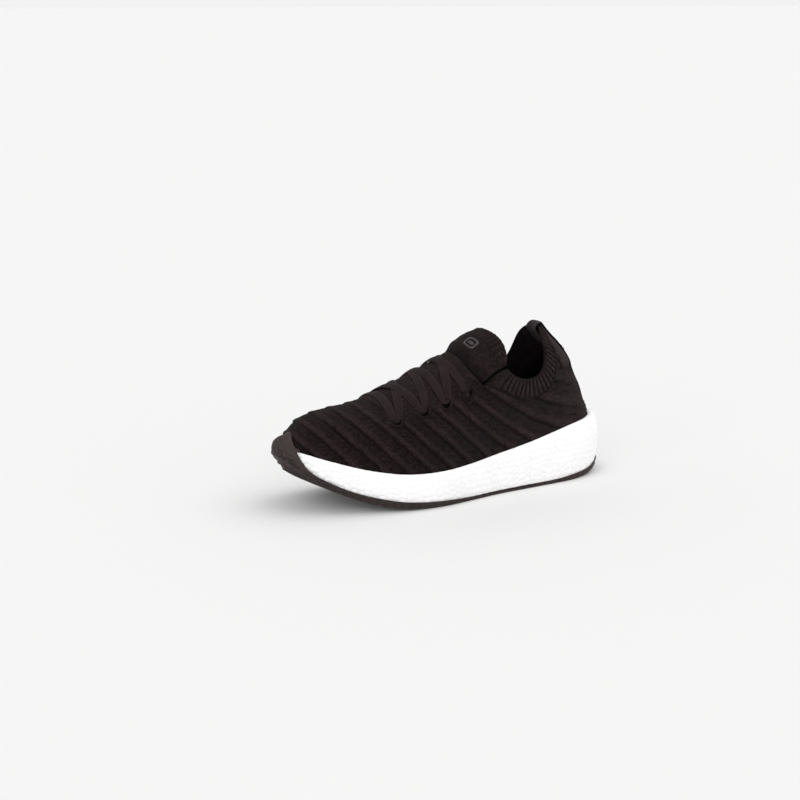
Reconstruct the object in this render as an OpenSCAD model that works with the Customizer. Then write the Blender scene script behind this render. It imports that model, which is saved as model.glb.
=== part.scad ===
// Knitted running shoe, left foot, with every layer as its own solid.
// Millimetres. The toe points along -X, the outer (lateral) side faces -Y, +Z is up,
// and the tread rests on z = 0 with the origin under the middle of the sole.

/* [Sole] */
// Length of the sole from toe tip to heel
sole_len = 295; // [285:1:305]
// Thickness of the rubber outsole at its edge
outsole_t = 3; // [2.6:0.1:3.2]
// Thickness of the rubber bumper over the toe
bumper_t = 2.5; // [2:0.1:2.6]
// Depth of the tread between the lugs
tread_depth = 1.2; // [0.8:0.1:1.5]
// Distance between tread lugs, centre to centre
lug_pitch = 20; // [18:1:24]
// Height of the foam rim above the line where the upper is joined
rim_height = 4; // [3.5:0.5:4.5]

/* [Upper] */
// Thickness of the knit
knit_t = 2.4; // [2:0.1:2.5]
// Thickness of the ribbed collar
cuff_t = 3.2; // [2.6:0.1:3.4]
// How far the padded tongue stands above the knit around it
tongue_bulge = 4; // [2:0.5:5]
// Clearance between the tongue and the collar and knit beside it
tongue_gap = 1.2; // [1.1:0.1:1.5]

/* [Laces and strap] */
// Width of the flat lace
lace_w = 8; // [6:0.5:8.5]
// Thickness of the flat lace
lace_t = 1.2; // [0.9:0.1:1.4]
// Width of the heel strap
strap_w = 14; // [10:1:16]
// Thickness of the heel strap
strap_t = 1.2; // [0.8:0.1:1.5]

/* [Inside] */
// Thickness of the board that closes the upper underneath
strobel_t = 1.2; // [1:0.1:1.4]
// Thickness of the removable sockliner's foam
sockliner_t = 4.5; // [3:0.5:6]
// Thickness of the cloth on the sockliner
cover_t = 0.8; // [0.5:0.1:1]
// Thickness of the moulded heel counter
counter_t = 1.3; // [1:0.1:1.5]
// Thickness of the toe stiffener and of the eyelet backing tapes
tape_t = 0.8; // [0.5:0.1:1]
// Thickness of the heel lining
lining_t = 0.8; // [0.6:0.1:1]
// Thickness of the foam pads beside the ankle
pad_t = 4; // [2:0.5:5]

/* [Hidden] */

// The tables below describe a shoe of this length; other lengths stretch it along X.
master_len = 295;
stretch = sole_len / master_len;
// Gap between layers that are bonded together
bond = 0.1;
// Gap between the rubber's side and the foam behind it
rubber_gap = 0.4;
// Gap between curved layers that lie loosely on each other
loose = 0.5;
// Angle between neighbouring points around the shoe, in degrees
step = 6;
ring_angles = [0 : step : 359];

// Half widths of the sole on each side of its centre line, against position from toe (0) to heel (1)
sole_lateral = [[0, 66], [0.1, 57], [0.2, 54], [0.3, 54], [0.4, 51], [0.5, 45], [0.6, 41], [0.7, 43],
    [0.85, 53], [1, 68]];
sole_medial = [[0, 72], [0.1, 65], [0.2, 58], [0.3, 53], [0.4, 42], [0.5, 35], [0.6, 34], [0.7, 39],
    [0.85, 52], [1, 68]];
sole_middle = [[0, 10], [0.15, 4], [0.3, 0], [0.6, -3], [0.8, 0], [1, 0]];
// Height of the tread: the toe springs up and the heel is bevelled
sole_bottom = [[0, 37], [0.03, 30], [0.06, 25.5], [0.1, 20], [0.2, 7.8], [0.3, 1.7], [0.4, 0], [0.6, 0],
    [0.86, 0], [0.93, 2.6], [1, 8]];
// Height of the foam's top edge
sole_rim = [[0, 51.5], [0.03, 49.5], [0.1, 43], [0.2, 34.5], [0.3, 29.5], [0.4, 28.7], [0.5, 30.4],
    [0.6, 34], [0.7, 38.6], [0.85, 47], [1, 50.5]];
// Height of the rubber's top edge: a bumper over the toe, then a thin strip
rubber_top = [[0, 62], [0.01, 57], [0.02, 50], [0.03, 45.5], [0.04, 41.7], [0.06, 36], [0.08, 31.7], [0.1, 27.5],
    [0.15, 19.2], [0.2, 13], [0.25, 9.2], [0.3, 6.8], [0.4, 4.6], [0.86, 4.6], [0.93, 7.2], [1, 12.6]];
// Inset of the foam's side against height: 0 at its lower edge, 1 at its rim
wall_inset = [[-0.3, 4.5], [-0.1, 3], [0, 2.2], [0.15, 1], [0.4, 0], [0.75, 0.5], [0.92, 2.2], [1, 4.2],
    [1.2, 6.5], [1.45, 9]];

// The upper's plan runs from upper_toe to upper_heel, measured from the toe tip of the sole
upper_toe = 7;
upper_heel = 287;
upper_lateral = [[0, 62], [0.1, 54], [0.2, 51.5], [0.3, 51], [0.4, 49], [0.5, 43.5], [0.6, 39.5], [0.7, 41],
    [0.85, 48], [1, 58]];
upper_medial = [[0, 68], [0.1, 61], [0.2, 55], [0.3, 50], [0.4, 41], [0.5, 35.5], [0.6, 34], [0.7, 38],
    [0.85, 47], [1, 58]];
upper_middle = [[0, 10], [0.15, 4], [0.3, 0], [0.6, -2], [0.8, 0], [1, 0]];
// Height of the instep's ridge line against distance from the toe
crown = [[7, 50], [9, 57], [13, 64], [20, 71], [34, 76.5], [50, 79], [66, 81], [86, 86.5], [106, 95],
    [128, 104], [150, 113.5], [165, 121], [176, 127.5], [184, 131.5], [190, 133.8], [196, 135.6],
    [206, 138], [230, 142], [287, 150]];
// Squareness of the upper's cross-section against distance from the toe
squareness = [[7, 2.2], [60, 2.2], [120, 2], [160, 2.5], [190, 3.2], [204, 2.6], [287, 2.6]];
// How far back the heel reaches at each height
heel_line = [[40, 283.2], [47, 282.6], [52, 280.7], [60, 277], [73, 272.5], [83, 267.5], [91, 264], [102, 257.5], [112, 249.5],
    [119, 242.5], [126, 236.5], [130, 233.5], [140, 227]];
// Height that the upper's rings climb to, against distance from the toe
collar_line = [[-60, 150], [60, 146], [120, 141], [165, 136], [178, 133], [184, 131.5], [188, 127.5],
    [192, 116], [196, 102], [203, 94.5], [212, 91.3], [223, 91.8], [232, 95], [243, 102], [251, 108], [260, 114],
    [268, 119], [275, 123.5], [281, 127], [287, 129.5]];
// Height of the foot opening's edge against distance from the toe, from the tongue's seam back
opening_line = [[188.5, 102], [193, 97.6], [199, 94], [209, 91.3], [219, 91.2], [228, 93.2], [235.5, 96.9],
    [243, 102], [251, 108], [260, 114], [268, 119], [275, 123.5], [281, 127], [287, 129.5]];
// Where the heel starts to lean, and where the foot opening starts on the ridge line
lean_start = 185;
opening_start = 184;

// Share of the upper's height at the tongue's front edge in the middle, and at its two corners
tongue_front = 0.79;
tongue_corner = 0.58;
// Angle around the shoe of the tongue's two front corners
corner_angle = 72;
// Distance from the toe where the tongue's seam meets the foot opening
seam_end = 188.5;
// Share of the upper's height at the ribbed collar's lower edge, against angle around the shoe
cuff_edge = [[72, 0.58], [95, 0.635], [115, 0.68], [140, 0.72], [160, 0.76], [180, 0.78]];
// Angle around the shoe at which the smooth heel tab starts
tab_angle = 132;

// Distance from the toe of each pair of eyelets, and their angles down from the ridge line
eyelets = [87, 110, 130, 151];
eyelet_angles = [44.5, 45, 47, 50.5];

// ---------- Curves and surfaces ----------

// Smooth curve through a table of [x, y] points
function slope(t, i) = (t[i + 1][1] - t[i][1]) / (t[i + 1][0] - t[i][0]);
function tangent(t, i) =
    i == 0 ? slope(t, 0)
    : i == len(t) - 1 ? slope(t, i - 1)
    : (slope(t, i - 1) * (t[i + 1][0] - t[i][0]) + slope(t, i) * (t[i][0] - t[i - 1][0]))
        / (t[i + 1][0] - t[i - 1][0]);
function span_of(t, x, i = 0) = (i < len(t) - 2 && x > t[i + 1][0]) ? span_of(t, x, i + 1) : i;
function hermite(h, u, a, b, ta, tb) =
    (1 + 2 * u) * pow(1 - u, 2) * a + u * pow(1 - u, 2) * h * ta
    + u * u * (3 - 2 * u) * b + u * u * (u - 1) * h * tb;
function curve(t, x) =
    let (c = min(max(x, t[0][0]), t[len(t) - 1][0]), i = span_of(t, c), h = t[i + 1][0] - t[i][0])
    hermite(h, (c - t[i][0]) / h, t[i][1], t[i + 1][1], tangent(t, i), tangent(t, i + 1));

function ramp(a, b, x) = let (u = min(max((x - a) / (b - a), 0), 1)) u * u * (3 - 2 * u);
function blend(a, b, u) = a + (b - a) * u;
function unit(v) = v / max(norm(v), 0.000001);
// Sideways shift that puts the origin under the middle of the sole's outline
centre_y = 1.3;
function place(x, y, z) = [(x - master_len / 2) * stretch, y + centre_y, z];
// Side of the shoe at an angle around it: 0 is the toe, 90 lateral, 180 the heel, 270 medial
function side_of(a) = ((a + 360) % 360) < 180 ? -1 : 1;

// Outline of the sole, inset by d along its own normal
function sole_plan(a) =
    let (t = (1 - cos(a)) / 2, half = side_of(a) < 0 ? curve(sole_lateral, t) : curve(sole_medial, t))
    [master_len * t, curve(sole_middle, t) + side_of(a) * half * abs(sin(a))];
function sole_out(a) = let (v = unit(sole_plan(a + 1) - sole_plan(a - 1))) [v[1], -v[0]];
function sole_at(a, d, z) = let (p = sole_plan(a) - d * sole_out(a)) place(p[0], p[1], z);
function along(a) = (1 - cos(a)) / 2;
// Height of the tread, flat on the ground from the ball to the heel
function tread_z(t) = max(curve(sole_bottom, t), 0);

// Point of the tread inset by d and raised by z, following the tread's own height there
function tread_at(a, d, z) =
    let (p = sole_plan(a) - d * sole_out(a))
    place(p[0], p[1], tread_z(p[0] / master_len) + z);

// Foam wall: its lower edge, and its inset at a height, with room for the toe bumper
function foam_bottom(a) = tread_z(along(a)) + outsole_t;
function rim_flare(a) = blend(0.22, 1, ramp(0.62, 0.98, along(a)));
function foam_inset(a, z) =
    let (s = (z - foam_bottom(a)) / (curve(sole_rim, along(a)) - foam_bottom(a)), e = curve(wall_inset, s))
    (s > 0.5 ? e * rim_flare(a) : e)
    + bumper_t * (1 - ramp(0.05, 0.3, along(a)));

// Height of the line where the upper meets the foam
function feather(xi) = curve(sole_rim, xi / master_len) - rim_height;

// Point on the upper's outer surface at distance xi from the toe and height z
function upper_at(xi, side, z) =
    let (t = (xi - upper_toe) / (upper_heel - upper_toe),
        half = side < 0 ? curve(upper_lateral, t) : curve(upper_medial, t),
        zb = feather(xi),
        tau = min(max((z - zb) / (curve(crown, xi) - zb), 0), 1),
        tuck = 1 - 0.05 * pow(max(1 - (z - zb) / 9, 0), 2),
        w = half * 2 * sqrt(max(t * (1 - t), 0)) * tuck,
        lean = (curve(heel_line, z) - curve(heel_line, feather(upper_heel))) * ramp(lean_start, upper_heel, xi))
    place(xi + lean,
        curve(upper_middle, t) * (1 - 0.4 * tau) + side * w * sqrt(max(1 - pow(tau, curve(squareness, xi)), 0)),
        z);

// The upper is a family of rings: 0 is its lower edge, 1 the edge of the foot opening
function ring_share(xi) = (curve(crown, xi) - feather(xi)) / (curve(collar_line, xi) - feather(xi));
ring_table = [for (xi = [upper_toe : 3 : opening_start]) [ring_share(xi), xi]];
function ring_start(r) = lookup(r, concat(ring_table, [[1, opening_start]]));
function upper_ring(a, r) =
    let (x0 = ring_start(r), xi = x0 + (upper_heel - x0) * along(a), zb = feather(xi))
    upper_at(xi, side_of(a), zb + r * (curve(collar_line, xi) - zb));
// Point on the upper at a plain height above its lower edge, for the parts that meet it there
function upper_foot(a, h) =
    let (xi = upper_toe + (upper_heel - upper_toe) * along(a), zb = feather(xi))
    upper_ring(a, h / (curve(collar_line, xi) - zb));

// Point over the instep: q degrees down from the ridge line, lateral positive
function instep_at(xi, q) =
    let (zb = feather(xi), zt = curve(crown, xi))
    upper_at(xi, q > 0 ? -1 : 1, zb + (zt - zb) * pow(cos(q), 2 / curve(squareness, xi)));
function instep_out(xi, q) =
    unit(cross(instep_at(xi, q + 1) - instep_at(xi, q - 1), instep_at(xi + 1, q) - instep_at(xi - 1, q)));
function over_instep(xi, q, h) = instep_at(xi, q) + h * instep_out(xi, q);

// Place on the upper as [distance from the toe, degrees down from the ridge line]
function height_at(xi, r) = blend(feather(xi), curve(collar_line, xi), r);
function down_at(xi, z) =
    acos(pow(min(max((z - feather(xi)) / (curve(crown, xi) - feather(xi)), 0), 1), curve(squareness, xi) / 2));
function ring_place(a, r) =
    let (x0 = ring_start(r), xi = x0 + (upper_heel - x0) * along(a)) [xi, down_at(xi, height_at(xi, r))];
function opening_place(xi) = [xi, down_at(xi, curve(opening_line, xi))];

// Lower edge of the tongue (up to the corner angle) and of the ribbed collar (beyond it)
function front_share(a) = blend(tongue_front, tongue_corner, pow(a / corner_angle, 2));
function cuff_share(a) = curve(cuff_edge, a);

// Upper edge of the one-piece knit, against angle around the shoe
function knit_edge(a) =
    let (b = abs(a > 180 ? a - 360 : a))
    b <= corner_angle
        ? front_share(b) - 0.004
        : cuff_share(b) - 0.012;

// ---------- Solids from grids of points ----------

function join(rows) = [for (row = rows) each row];

// Outward normals of a grid; rows go up and columns go round by way of the lateral side
function normals(g, wrap) =
    let (c = len(g[0]), n = len(g))
    [for (j = [0 : n - 1]) [for (i = [0 : c - 1])
        let (i0 = wrap ? (i + c - 1) % c : max(i - 1, 0), i1 = wrap ? (i + 1) % c : min(i + 1, c - 1))
        unit(cross(g[j][i1] - g[j][i0], g[min(j + 1, n - 1)][i] - g[max(j - 1, 0)][i]))]];

// A grid moved out by d, which is one number or a grid of them
function pushed(g, n, d) =
    [for (j = [0 : len(g) - 1]) [for (i = [0 : len(g[0]) - 1]) g[j][i] + n[j][i] * (is_list(d) ? d[j][i] : d)]];

// Layer between two grids
module layer(outer, inner, wrap = false) {
    c = len(outer[0]);
    n = len(outer);
    m = c * n;
    cells = wrap ? c : c - 1;
    skin = [for (j = [0 : n - 2], i = [0 : cells - 1])
        let (a = j * c + i, b = j * c + (i + 1) % c)
        each [[a, a + c, b + c], [a, b + c, b], [a + m, b + c + m, a + c + m], [a + m, b + m, b + c + m]]];
    ends = [for (i = [0 : cells - 1])
        let (a = i, b = (i + 1) % c, t = a + m - c, u = b + m - c)
        each [[a, b, b + m], [a, b + m, a + m], [t, u + m, u], [t, t + m, u + m]]];
    sides = wrap ? [] : [for (j = [0 : n - 2])
        let (a = j * c, b = j * c + c - 1)
        each [[a, a + m, a + c + m], [a, a + c + m, a + c], [b, b + c + m, b + m], [b, b + c, b + c + m]]];
    polyhedron(concat(join(outer), join(inner)), concat(skin, ends, sides), convexity = 8);
}

// A layer of the upper: the same grid pushed out by two distances
module skin_layer(g, from_d, to_d, wrap = false) {
    n = normals(g, wrap);
    layer(pushed(g, n, to_d), pushed(g, n, from_d), wrap);
}

// Solid from closed rings stacked bottom to top, its two ends closed by strips across the shoe
module stacked(rings) {
    c = len(rings[0]);
    m = c * (len(rings) - 1);
    wall = [for (j = [0 : len(rings) - 2], i = [0 : c - 1])
        let (a = j * c + i, b = j * c + (i + 1) % c)
        each [[a, a + c, b + c], [a, b + c, b]]];
    base = [for (i = [1 : c / 2 - 2]) each [[i, i + 1, c - i - 1], [i, c - i - 1, c - i]]];
    tips = [[0, 1, c - 1], [c / 2 - 1, c / 2, c / 2 + 1]];
    floor_faces = concat(base, tips);
    roof_faces = [for (f = floor_faces) [f[2] + m, f[1] + m, f[0] + m]];
    polyhedron(join(rings), concat(wall, floor_faces, roof_faces), convexity = 8);
}

// A closed ring of points moved out by d in plan, and up by z
function ring_moved(ring, d, z = 0) =
    let (c = len(ring))
    [for (i = [0 : c - 1])
        let (v = ring[(i + 1) % c] - ring[(i + c - 1) % c], n = unit([v[1], -v[0], 0]))
        ring[i] + d * n + [0, 0, z]];

// Round cord along a list of points, with k sides
module cord(path, r, k = 6, closed = false) {
    n = len(path);
    axis = [for (i = [0 : n - 1])
        unit(path[closed ? (i + 1) % n : min(i + 1, n - 1)] - path[closed ? (i + n - 1) % n : max(i - 1, 0)])];
    points = [for (i = [0 : n - 1])
        let (s = unit(cross(axis[i], [0, 0, 1])), u = cross(s, axis[i]))
        for (q = [0 : k - 1]) path[i] + r * (cos(q * 360 / k) * s + sin(q * 360 / k) * u)];
    spans = closed ? n : n - 1;
    wall = [for (i = [0 : spans - 1], q = [0 : k - 1])
        let (a = i * k + q, b = i * k + (q + 1) % k, c = (a + k) % (n * k), d = (b + k) % (n * k))
        each [[a, d, c], [a, b, d]]];
    ends = closed ? [] : [[for (q = [k - 1 : -1 : 0]) q], [for (q = [0 : k - 1]) (n - 1) * k + q]];
    polyhedron(points, concat(wall, ends), convexity = 8);
}

// Flat ribbon along a list of [point, outward direction, width], lifted by its own thickness
module ribbon(path, t) {
    n = len(path);
    points = [for (i = [0 : n - 1])
        let (v = unit(path[min(i + 1, n - 1)][0] - path[max(i - 1, 0)][0]),
            b = unit(cross(path[i][1], v)), up = cross(v, b), h = path[i][2] / 2)
        each [path[i][0] - h * b, path[i][0] + h * b, path[i][0] + h * b + t * up, path[i][0] - h * b + t * up]];
    wall = [for (i = [0 : n - 2], q = [0 : 3])
        let (a = i * 4 + q, b = i * 4 + (q + 1) % 4)
        each [[a, b + 4, b], [a, a + 4, b + 4]]];
    last = 4 * (n - 1);
    polyhedron(points, concat(wall, [[0, 1, 2, 3], [last, last + 3, last + 2, last + 1]]), convexity = 8);
}

// ---------- Sole ----------

// Moulded rubber: a tray under the foam that rises over the toe as a bumper
module outsole() color("#453b38") {
    stacked(concat(
        [[for (a = ring_angles) tread_at(a, 9.5, tread_depth)]],
        [[for (a = ring_angles) tread_at(a, 8.5, 0)]],
        [[for (a = ring_angles) tread_at(a, rubber_inset(a, tread_z(along(a))) + 1.2, 0)]],
        [for (s = [0.15, 0.4, 0.7, 1]) [for (a = ring_angles) rubber_face(a, side_z(a, s), rubber_t(a))]],
        [for (s = [0.5, 1]) [for (a = ring_angles) rubber_face(a, lip_z(a, s), rubber_t(a))]],
        [for (s = [1, 0.5]) [for (a = ring_angles) rubber_face(a, lip_z(a, s), 0)]],
        [for (s = [1, 0.7, 0.4, 0.15]) [for (a = ring_angles) rubber_face(a, tray_z(a, s), 0)]],
        [[for (a = ring_angles) tread_at(a, foam_inset(a, foam_bottom(a)) - rubber_gap, outsole_t - bond)]]));
    for (lug = lug_centres()) tread_lug(lug);
}

// Heights up the rubber's side, as far as the foam's rim, and from there up its free lip
function lip_start(a) = min(curve(sole_rim, along(a)) + 0.4, curve(rubber_top, along(a)) - 0.6);
function side_z(a, s) = blend(tread_z(along(a)), lip_start(a), s);
function tray_z(a, s) = blend(foam_bottom(a), lip_start(a), s);
function lip_z(a, s) = blend(lip_start(a), curve(rubber_top, along(a)), s);
function rubber_t(a) = blend(0.8, bumper_t - bond, 1 - ramp(0.05, 0.3, along(a)));
function rubber_inset(a, z) = foam_inset(a, z) - rubber_t(a);
// Face of the rubber, out from its inner side: it lies on the foam, and above the rim on the knit
function rubber_face(a, z, out) =
    let (rim = curve(sole_rim, along(a)), lean = ramp(rim + 0.4, rim + 3, z) * (1 - ramp(0.08, 0.14, along(a))))
    blend(sole_at(a, foam_inset(a, z) - rubber_gap - out, z), on_knit(a, z, 0.4 + out), lean);
function on_knit(a, z, out) =
    let (xi = upper_toe + (upper_heel - upper_toe) * along(a), p = upper_foot(a, z - feather(xi)), n = sole_out(a))
    [p[0] + n[0] * out, p[1] + n[1] * out, z];

// Six-sided lugs fill the middle of the tread
function lug_centres() =
    [for (row = [-2 : 2], col = [-7 : 7])
        let (x = (col + (abs(row) % 2) / 2) * lug_pitch + master_len / 2, y = row * lug_pitch * 0.866,
            t = x / master_len, s = sqrt(max(t * (1 - t), 0)) * 2,
            low = curve(sole_middle, t) - curve(sole_lateral, t) * s,
            high = curve(sole_middle, t) + curve(sole_medial, t) * s)
        if (t > 0.08 && t < 0.95 && y > low + 0.95 * lug_pitch && y < high - 0.95 * lug_pitch) [x, y]];
module tread_lug(c) {
    r = lug_pitch * 0.46;
    rim = [for (q = [0 : 60 : 300]) [c[0] + r * cos(q + 30), c[1] + r * sin(q + 30)]];
    low = [for (p = rim) place(p[0], p[1], tread_z(p[0] / master_len))];
    high = [for (p = rim) place(p[0], p[1], tread_z(p[0] / master_len) + tread_depth + 0.5)];
    sides = [for (i = [0 : 5]) let (j = (i + 1) % 6) each [[i, i + 6, j + 6], [i, j + 6, j]]];
    fan = [for (i = [1 : 4]) [0, i, i + 1]];
    lid = [for (i = [1 : 4]) [6, 7 + i, 6 + i]];
    polyhedron(concat(low, high), concat(sides, fan, lid));
}

// Thick foam with a rim that cups the upper
module midsole() color("#f8f5f6") {
    lip = [for (a = ring_angles) upper_foot(a, rim_height)];
    seat = [for (a = ring_angles) upper_foot(a, 0)];
    stacked(concat(
        [[for (a = ring_angles) tread_at(a, foam_inset(a, foam_bottom(a)), outsole_t)]],
        [for (s = [0.15, 0.4, 0.65, 0.85, 0.94]) [for (a = ring_angles) foam_wall(a, s)]],
        [[for (a = ring_angles) foam_wall(a, 1)]],
        [ring_moved(lip, 0.3)],
        [ring_moved(seat, 0.3, -bond)]));
}
function foam_wall(a, s) =
    let (z = blend(foam_bottom(a), curve(sole_rim, along(a)), s))
    sole_at(a, foam_inset(a, z), z);

// ---------- Bottom of the upper, and what lies on it ----------

// Outline at the upper's lower edge, inset by d and raised by z
function footbed(d, z) = ring_moved([for (a = ring_angles) upper_foot(a, 0)], -d, z);

module plate(d, z, t) {
    stacked([footbed(d, z), footbed(d, z + t)]);
}

module strobel_board() color("#d8d4cc") plate(knit_t + 0.3, 0, strobel_t);

// Overlocked thread that sews the board to the knit
module strobel_stitching() color("#e8e6e0") {
    cord(footbed(knit_t + 1.4, strobel_t + 0.7), 0.6, 4, true);
}

module sockliner_foam() color("#2a2830") {
    z = strobel_t + 0.1;
    stacked([footbed(9.6, z), footbed(8.8, z + 1.4), footbed(8.8, z + sockliner_t)]);
}

module sockliner_cover() color("#1d1b1f") plate(8.8, strobel_t + 0.1 + sockliner_t, cover_t);

// ---------- Upper ----------

knit_rows = [0, 0.04, 0.1, 0.19, 0.28, 0.36, 0.43, 0.5, 0.58, 0.67, 0.76, 0.84, 0.92, 1];

module knit_upper() color("#2a2224") {
    g = [for (v = knit_rows) [for (a = ring_angles) upper_ring(a, v * knit_edge(a))]];
    skin_layer(g, -knit_t, 0, true);
}

// Ribbed band round the foot opening, from one side of the tongue round the heel to the other
cuff_angles = [corner_angle : step : 360 - corner_angle];
function cuff_at(a, v) =
    let (b = a > 180 ? 360 - a : a, side = a > 180 ? -1 : 1,
        u = (along(b) - along(corner_angle)) / (1 - along(corner_angle)),
        p = blend(ring_place(b, cuff_share(b)), opening_place(blend(seam_end, upper_heel, u)), v))
    instep_at(p[0], side * p[1]);
cuff_rows = [0, 0.2, 0.4, 0.6, 0.8, 0.93, 1];
function cuff_pull(v) = 0.9 * ramp(0.85, 1, v);

module rib_collar() color("#231c1e") {
    g = [for (v = cuff_rows) [for (a = cuff_angles) cuff_at(a, v)]];
    outer = [for (v = cuff_rows) [for (a = cuff_angles) 0.6 - cuff_pull(v)]];
    inner = [for (v = cuff_rows) [for (a = cuff_angles) 0.6 - cuff_t + cuff_pull(v)]];
    skin_layer(g, inner, outer);
}

// Raised thread along the join of the knit and the ribbed collar, on each side as far as the heel tab
module collar_seam_side(side) {
    angles = [for (a = [corner_angle + 2 : step : tab_angle - 4]) side < 0 ? a : 360 - a];
    path = [for (a = angles) cuff_at(a, -0.03)];
    out = [for (a = angles) unit(cross(cuff_at(a + 2, 0) - cuff_at(a - 2, 0), cuff_at(a, 0.1) - cuff_at(a, 0)))];
    cord([for (i = [0 : len(path) - 1]) path[i] + 1.3 * out[i]], 0.5, 5);
}
module collar_seam() color("#161113") {
    collar_seam_side(-1);
    collar_seam_side(1);
}

// Patch of a layer between two angles and two shares of the upper's height
function patch(a0, a1, r0, r1, rows = 6) =
    [for (j = [0 : rows]) [for (a = [a0 : step : a1]) upper_ring(a, blend(r0, r1, j / rows))]];

module heel_counter() color("#c9c6c0") {
    skin_layer(patch(114, 246, 0.05, 0.46, 7), -knit_t - loose - counter_t, -knit_t - loose);
}

module toe_puff() color("#cfcac2") {
    skin_layer(patch(-48, 48, 0.05, 0.32, 5), -knit_t - loose - tape_t, -knit_t - loose);
}

// Cloth inside the heel, swelling over the two foam pads
lining_angles = [108 : step : 252];
lining_rows = [0.06, 0.15, 0.25, 0.36, 0.46, 0.54, 0.6, 0.66, 0.72, 0.78, 0.83];
function pad_swell(a, r) =
    ramp(0.5, 0.6, r) * (1 - ramp(0.7, 0.8, r))
    * ramp(16, 34, abs(a - 180)) * (1 - ramp(52, 68, abs(a - 180)));
module heel_lining() color("#171315") {
    g = [for (r = lining_rows) [for (a = lining_angles) upper_ring(a, r)]];
    n = normals(g, false);
    depth = [for (r = lining_rows) [for (a = lining_angles)
        -knit_t - 2 * loose - counter_t - pad_t * pad_swell(a, r)]];
    thick = [for (row = depth) [for (d = row) d - lining_t]];
    layer(pushed(g, n, depth), pushed(g, n, thick));
}

module collar_pad(a0, a1) {
    rows = [for (j = [0 : 6]) blend(0.52, 0.78, j / 6)];
    angles = [a0 : step : a1];
    g = [for (r = rows) [for (a = angles) upper_ring(a, r)]];
    n = normals(g, false);
    inner = [for (r = rows) [for (a = angles)
        -knit_t - loose - counter_t + 0.2 - (pad_t - 0.4) * pad_swell(a, r) * ramp(0.5, 0.55, r)]];
    layer(pushed(g, n, -knit_t - 0.9), pushed(g, n, inner));
}
module collar_pad_lateral() color("#b9b4ac") collar_pad(114, 162);
module collar_pad_medial() color("#b9b4ac") collar_pad(198, 246);

// Tapes bonded inside the knit behind the eyelets
module eyestay_tape(side) {
    g = [for (xi = [78 : 8 : 150]) [for (q = [36 : 4 : 60]) over_instep(xi, q * side, -knit_t - loose)]];
    low = [for (xi = [78 : 8 : 150]) [for (q = [36 : 4 : 60]) over_instep(xi, q * side, -knit_t - loose - tape_t)]];
    if (side > 0) layer(g, low); else layer(low, g);
}
module eyestay_tape_lateral() color("#8f8a86") eyestay_tape(1);
module eyestay_tape_medial() color("#8f8a86") eyestay_tape(-1);

// ---------- Laces ----------

// Stops of the lace in order: [eyelet pair, side]; lateral is 1, medial is -1
lace_stops = [[3, 1], [2, -1], [1, 1], [0, -1], [0, 1], [1, -1], [2, 1], [3, -1]];
lace_low = 0.8;
turn_w = 3;
turn_half = 2.6;

// Height of a crossing run: the runs from the medial side back to the lateral side lie on top
function run_over(i) = i == 3 ? 0 : (i < 3) == (lace_stops[i][1] > 0) ? 1 : (i > 3) == (lace_stops[i][1] < 0) ? 1 : 0;
function turn_dir(i) = i < 4 ? 1 : -1;
function stop_in(i) = eyelets[lace_stops[i][0]] + turn_half * (i == 0 ? 0 : turn_dir(i));
function stop_out(i) = eyelets[lace_stops[i][0]] - turn_half * (i == len(lace_stops) - 1 ? 0 : turn_dir(i));
run_steps = [0.05, 0.12, 0.2, 0.28, 0.36, 0.43, 0.5, 0.57, 0.64, 0.72, 0.8, 0.88, 0.95];
function lace_point(xi, q, h, w) = [over_instep(xi, q, h), instep_out(xi, q), w];
lace_path = [for (i = [0 : len(lace_stops) - 1])
    let (side = lace_stops[i][1], reach = eyelet_angles[lace_stops[i][0]] * side)
    each concat(
        [lace_point(eyelets[lace_stops[i][0]], reach + 3 * side, lace_low, turn_w)],
        i == len(lace_stops) - 1 ? [] : [for (u = run_steps)
            let (xa = stop_out(i), xb = stop_in(i + 1), far = eyelet_angles[lace_stops[i + 1][0]],
                q = blend(reach - 3 * side, (3 - far) * side, u))
            lace_point(blend(xa, xb, u), q, lace_low + run_over(i) * (lace_t + 0.5) * pow(sin(180 * u), 2),
                blend(turn_w, lace_w, ramp(0, 0.25, u) * (1 - ramp(0.75, 1, u))))])];

module laces() color("#2b2226") ribbon(lace_path, lace_t);

// Tips of the lace, tucked under the knit behind the last eyelets
module aglet(side) {
    p = over_instep(eyelets[3] - 8, 46 * side, -knit_t - tape_t - loose - 2.6);
    translate(p) rotate([0, 90 - 22, 3 * side]) cylinder(h = 16, r = 1.6, center = true, $fn = 24);
}
module aglets() color("#1b1718") {
    aglet(1);
    aglet(-1);
}

// Knitted loops that hold the lace down at each eyelet
loop_shape = [[-7.5, 0.15], [-5.5, 1.6], [-3.8, 2.6], [0, 2.9], [3.8, 2.6], [5.5, 1.6], [7.5, 0.15]];
module lace_loop(i, side) {
    xi = eyelets[i];
    q = (eyelet_angles[i] - 1) * side;
    ribbon([for (p = loop_shape) [over_instep(xi + p[0], q, p[1]), instep_out(xi + p[0], q), 5]], 0.8);
}
module lace_loops() color("#2f2629") {
    for (i = [0 : len(eyelets) - 1], side = [-1, 1]) lace_loop(i, side);
}

// ---------- Heel ----------

module heel_tab() color("#282022") {
    skin_layer(patch(tab_angle, 360 - tab_angle, 0.64, 0.97, 6), 0.75, 1.35);
}

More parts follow.
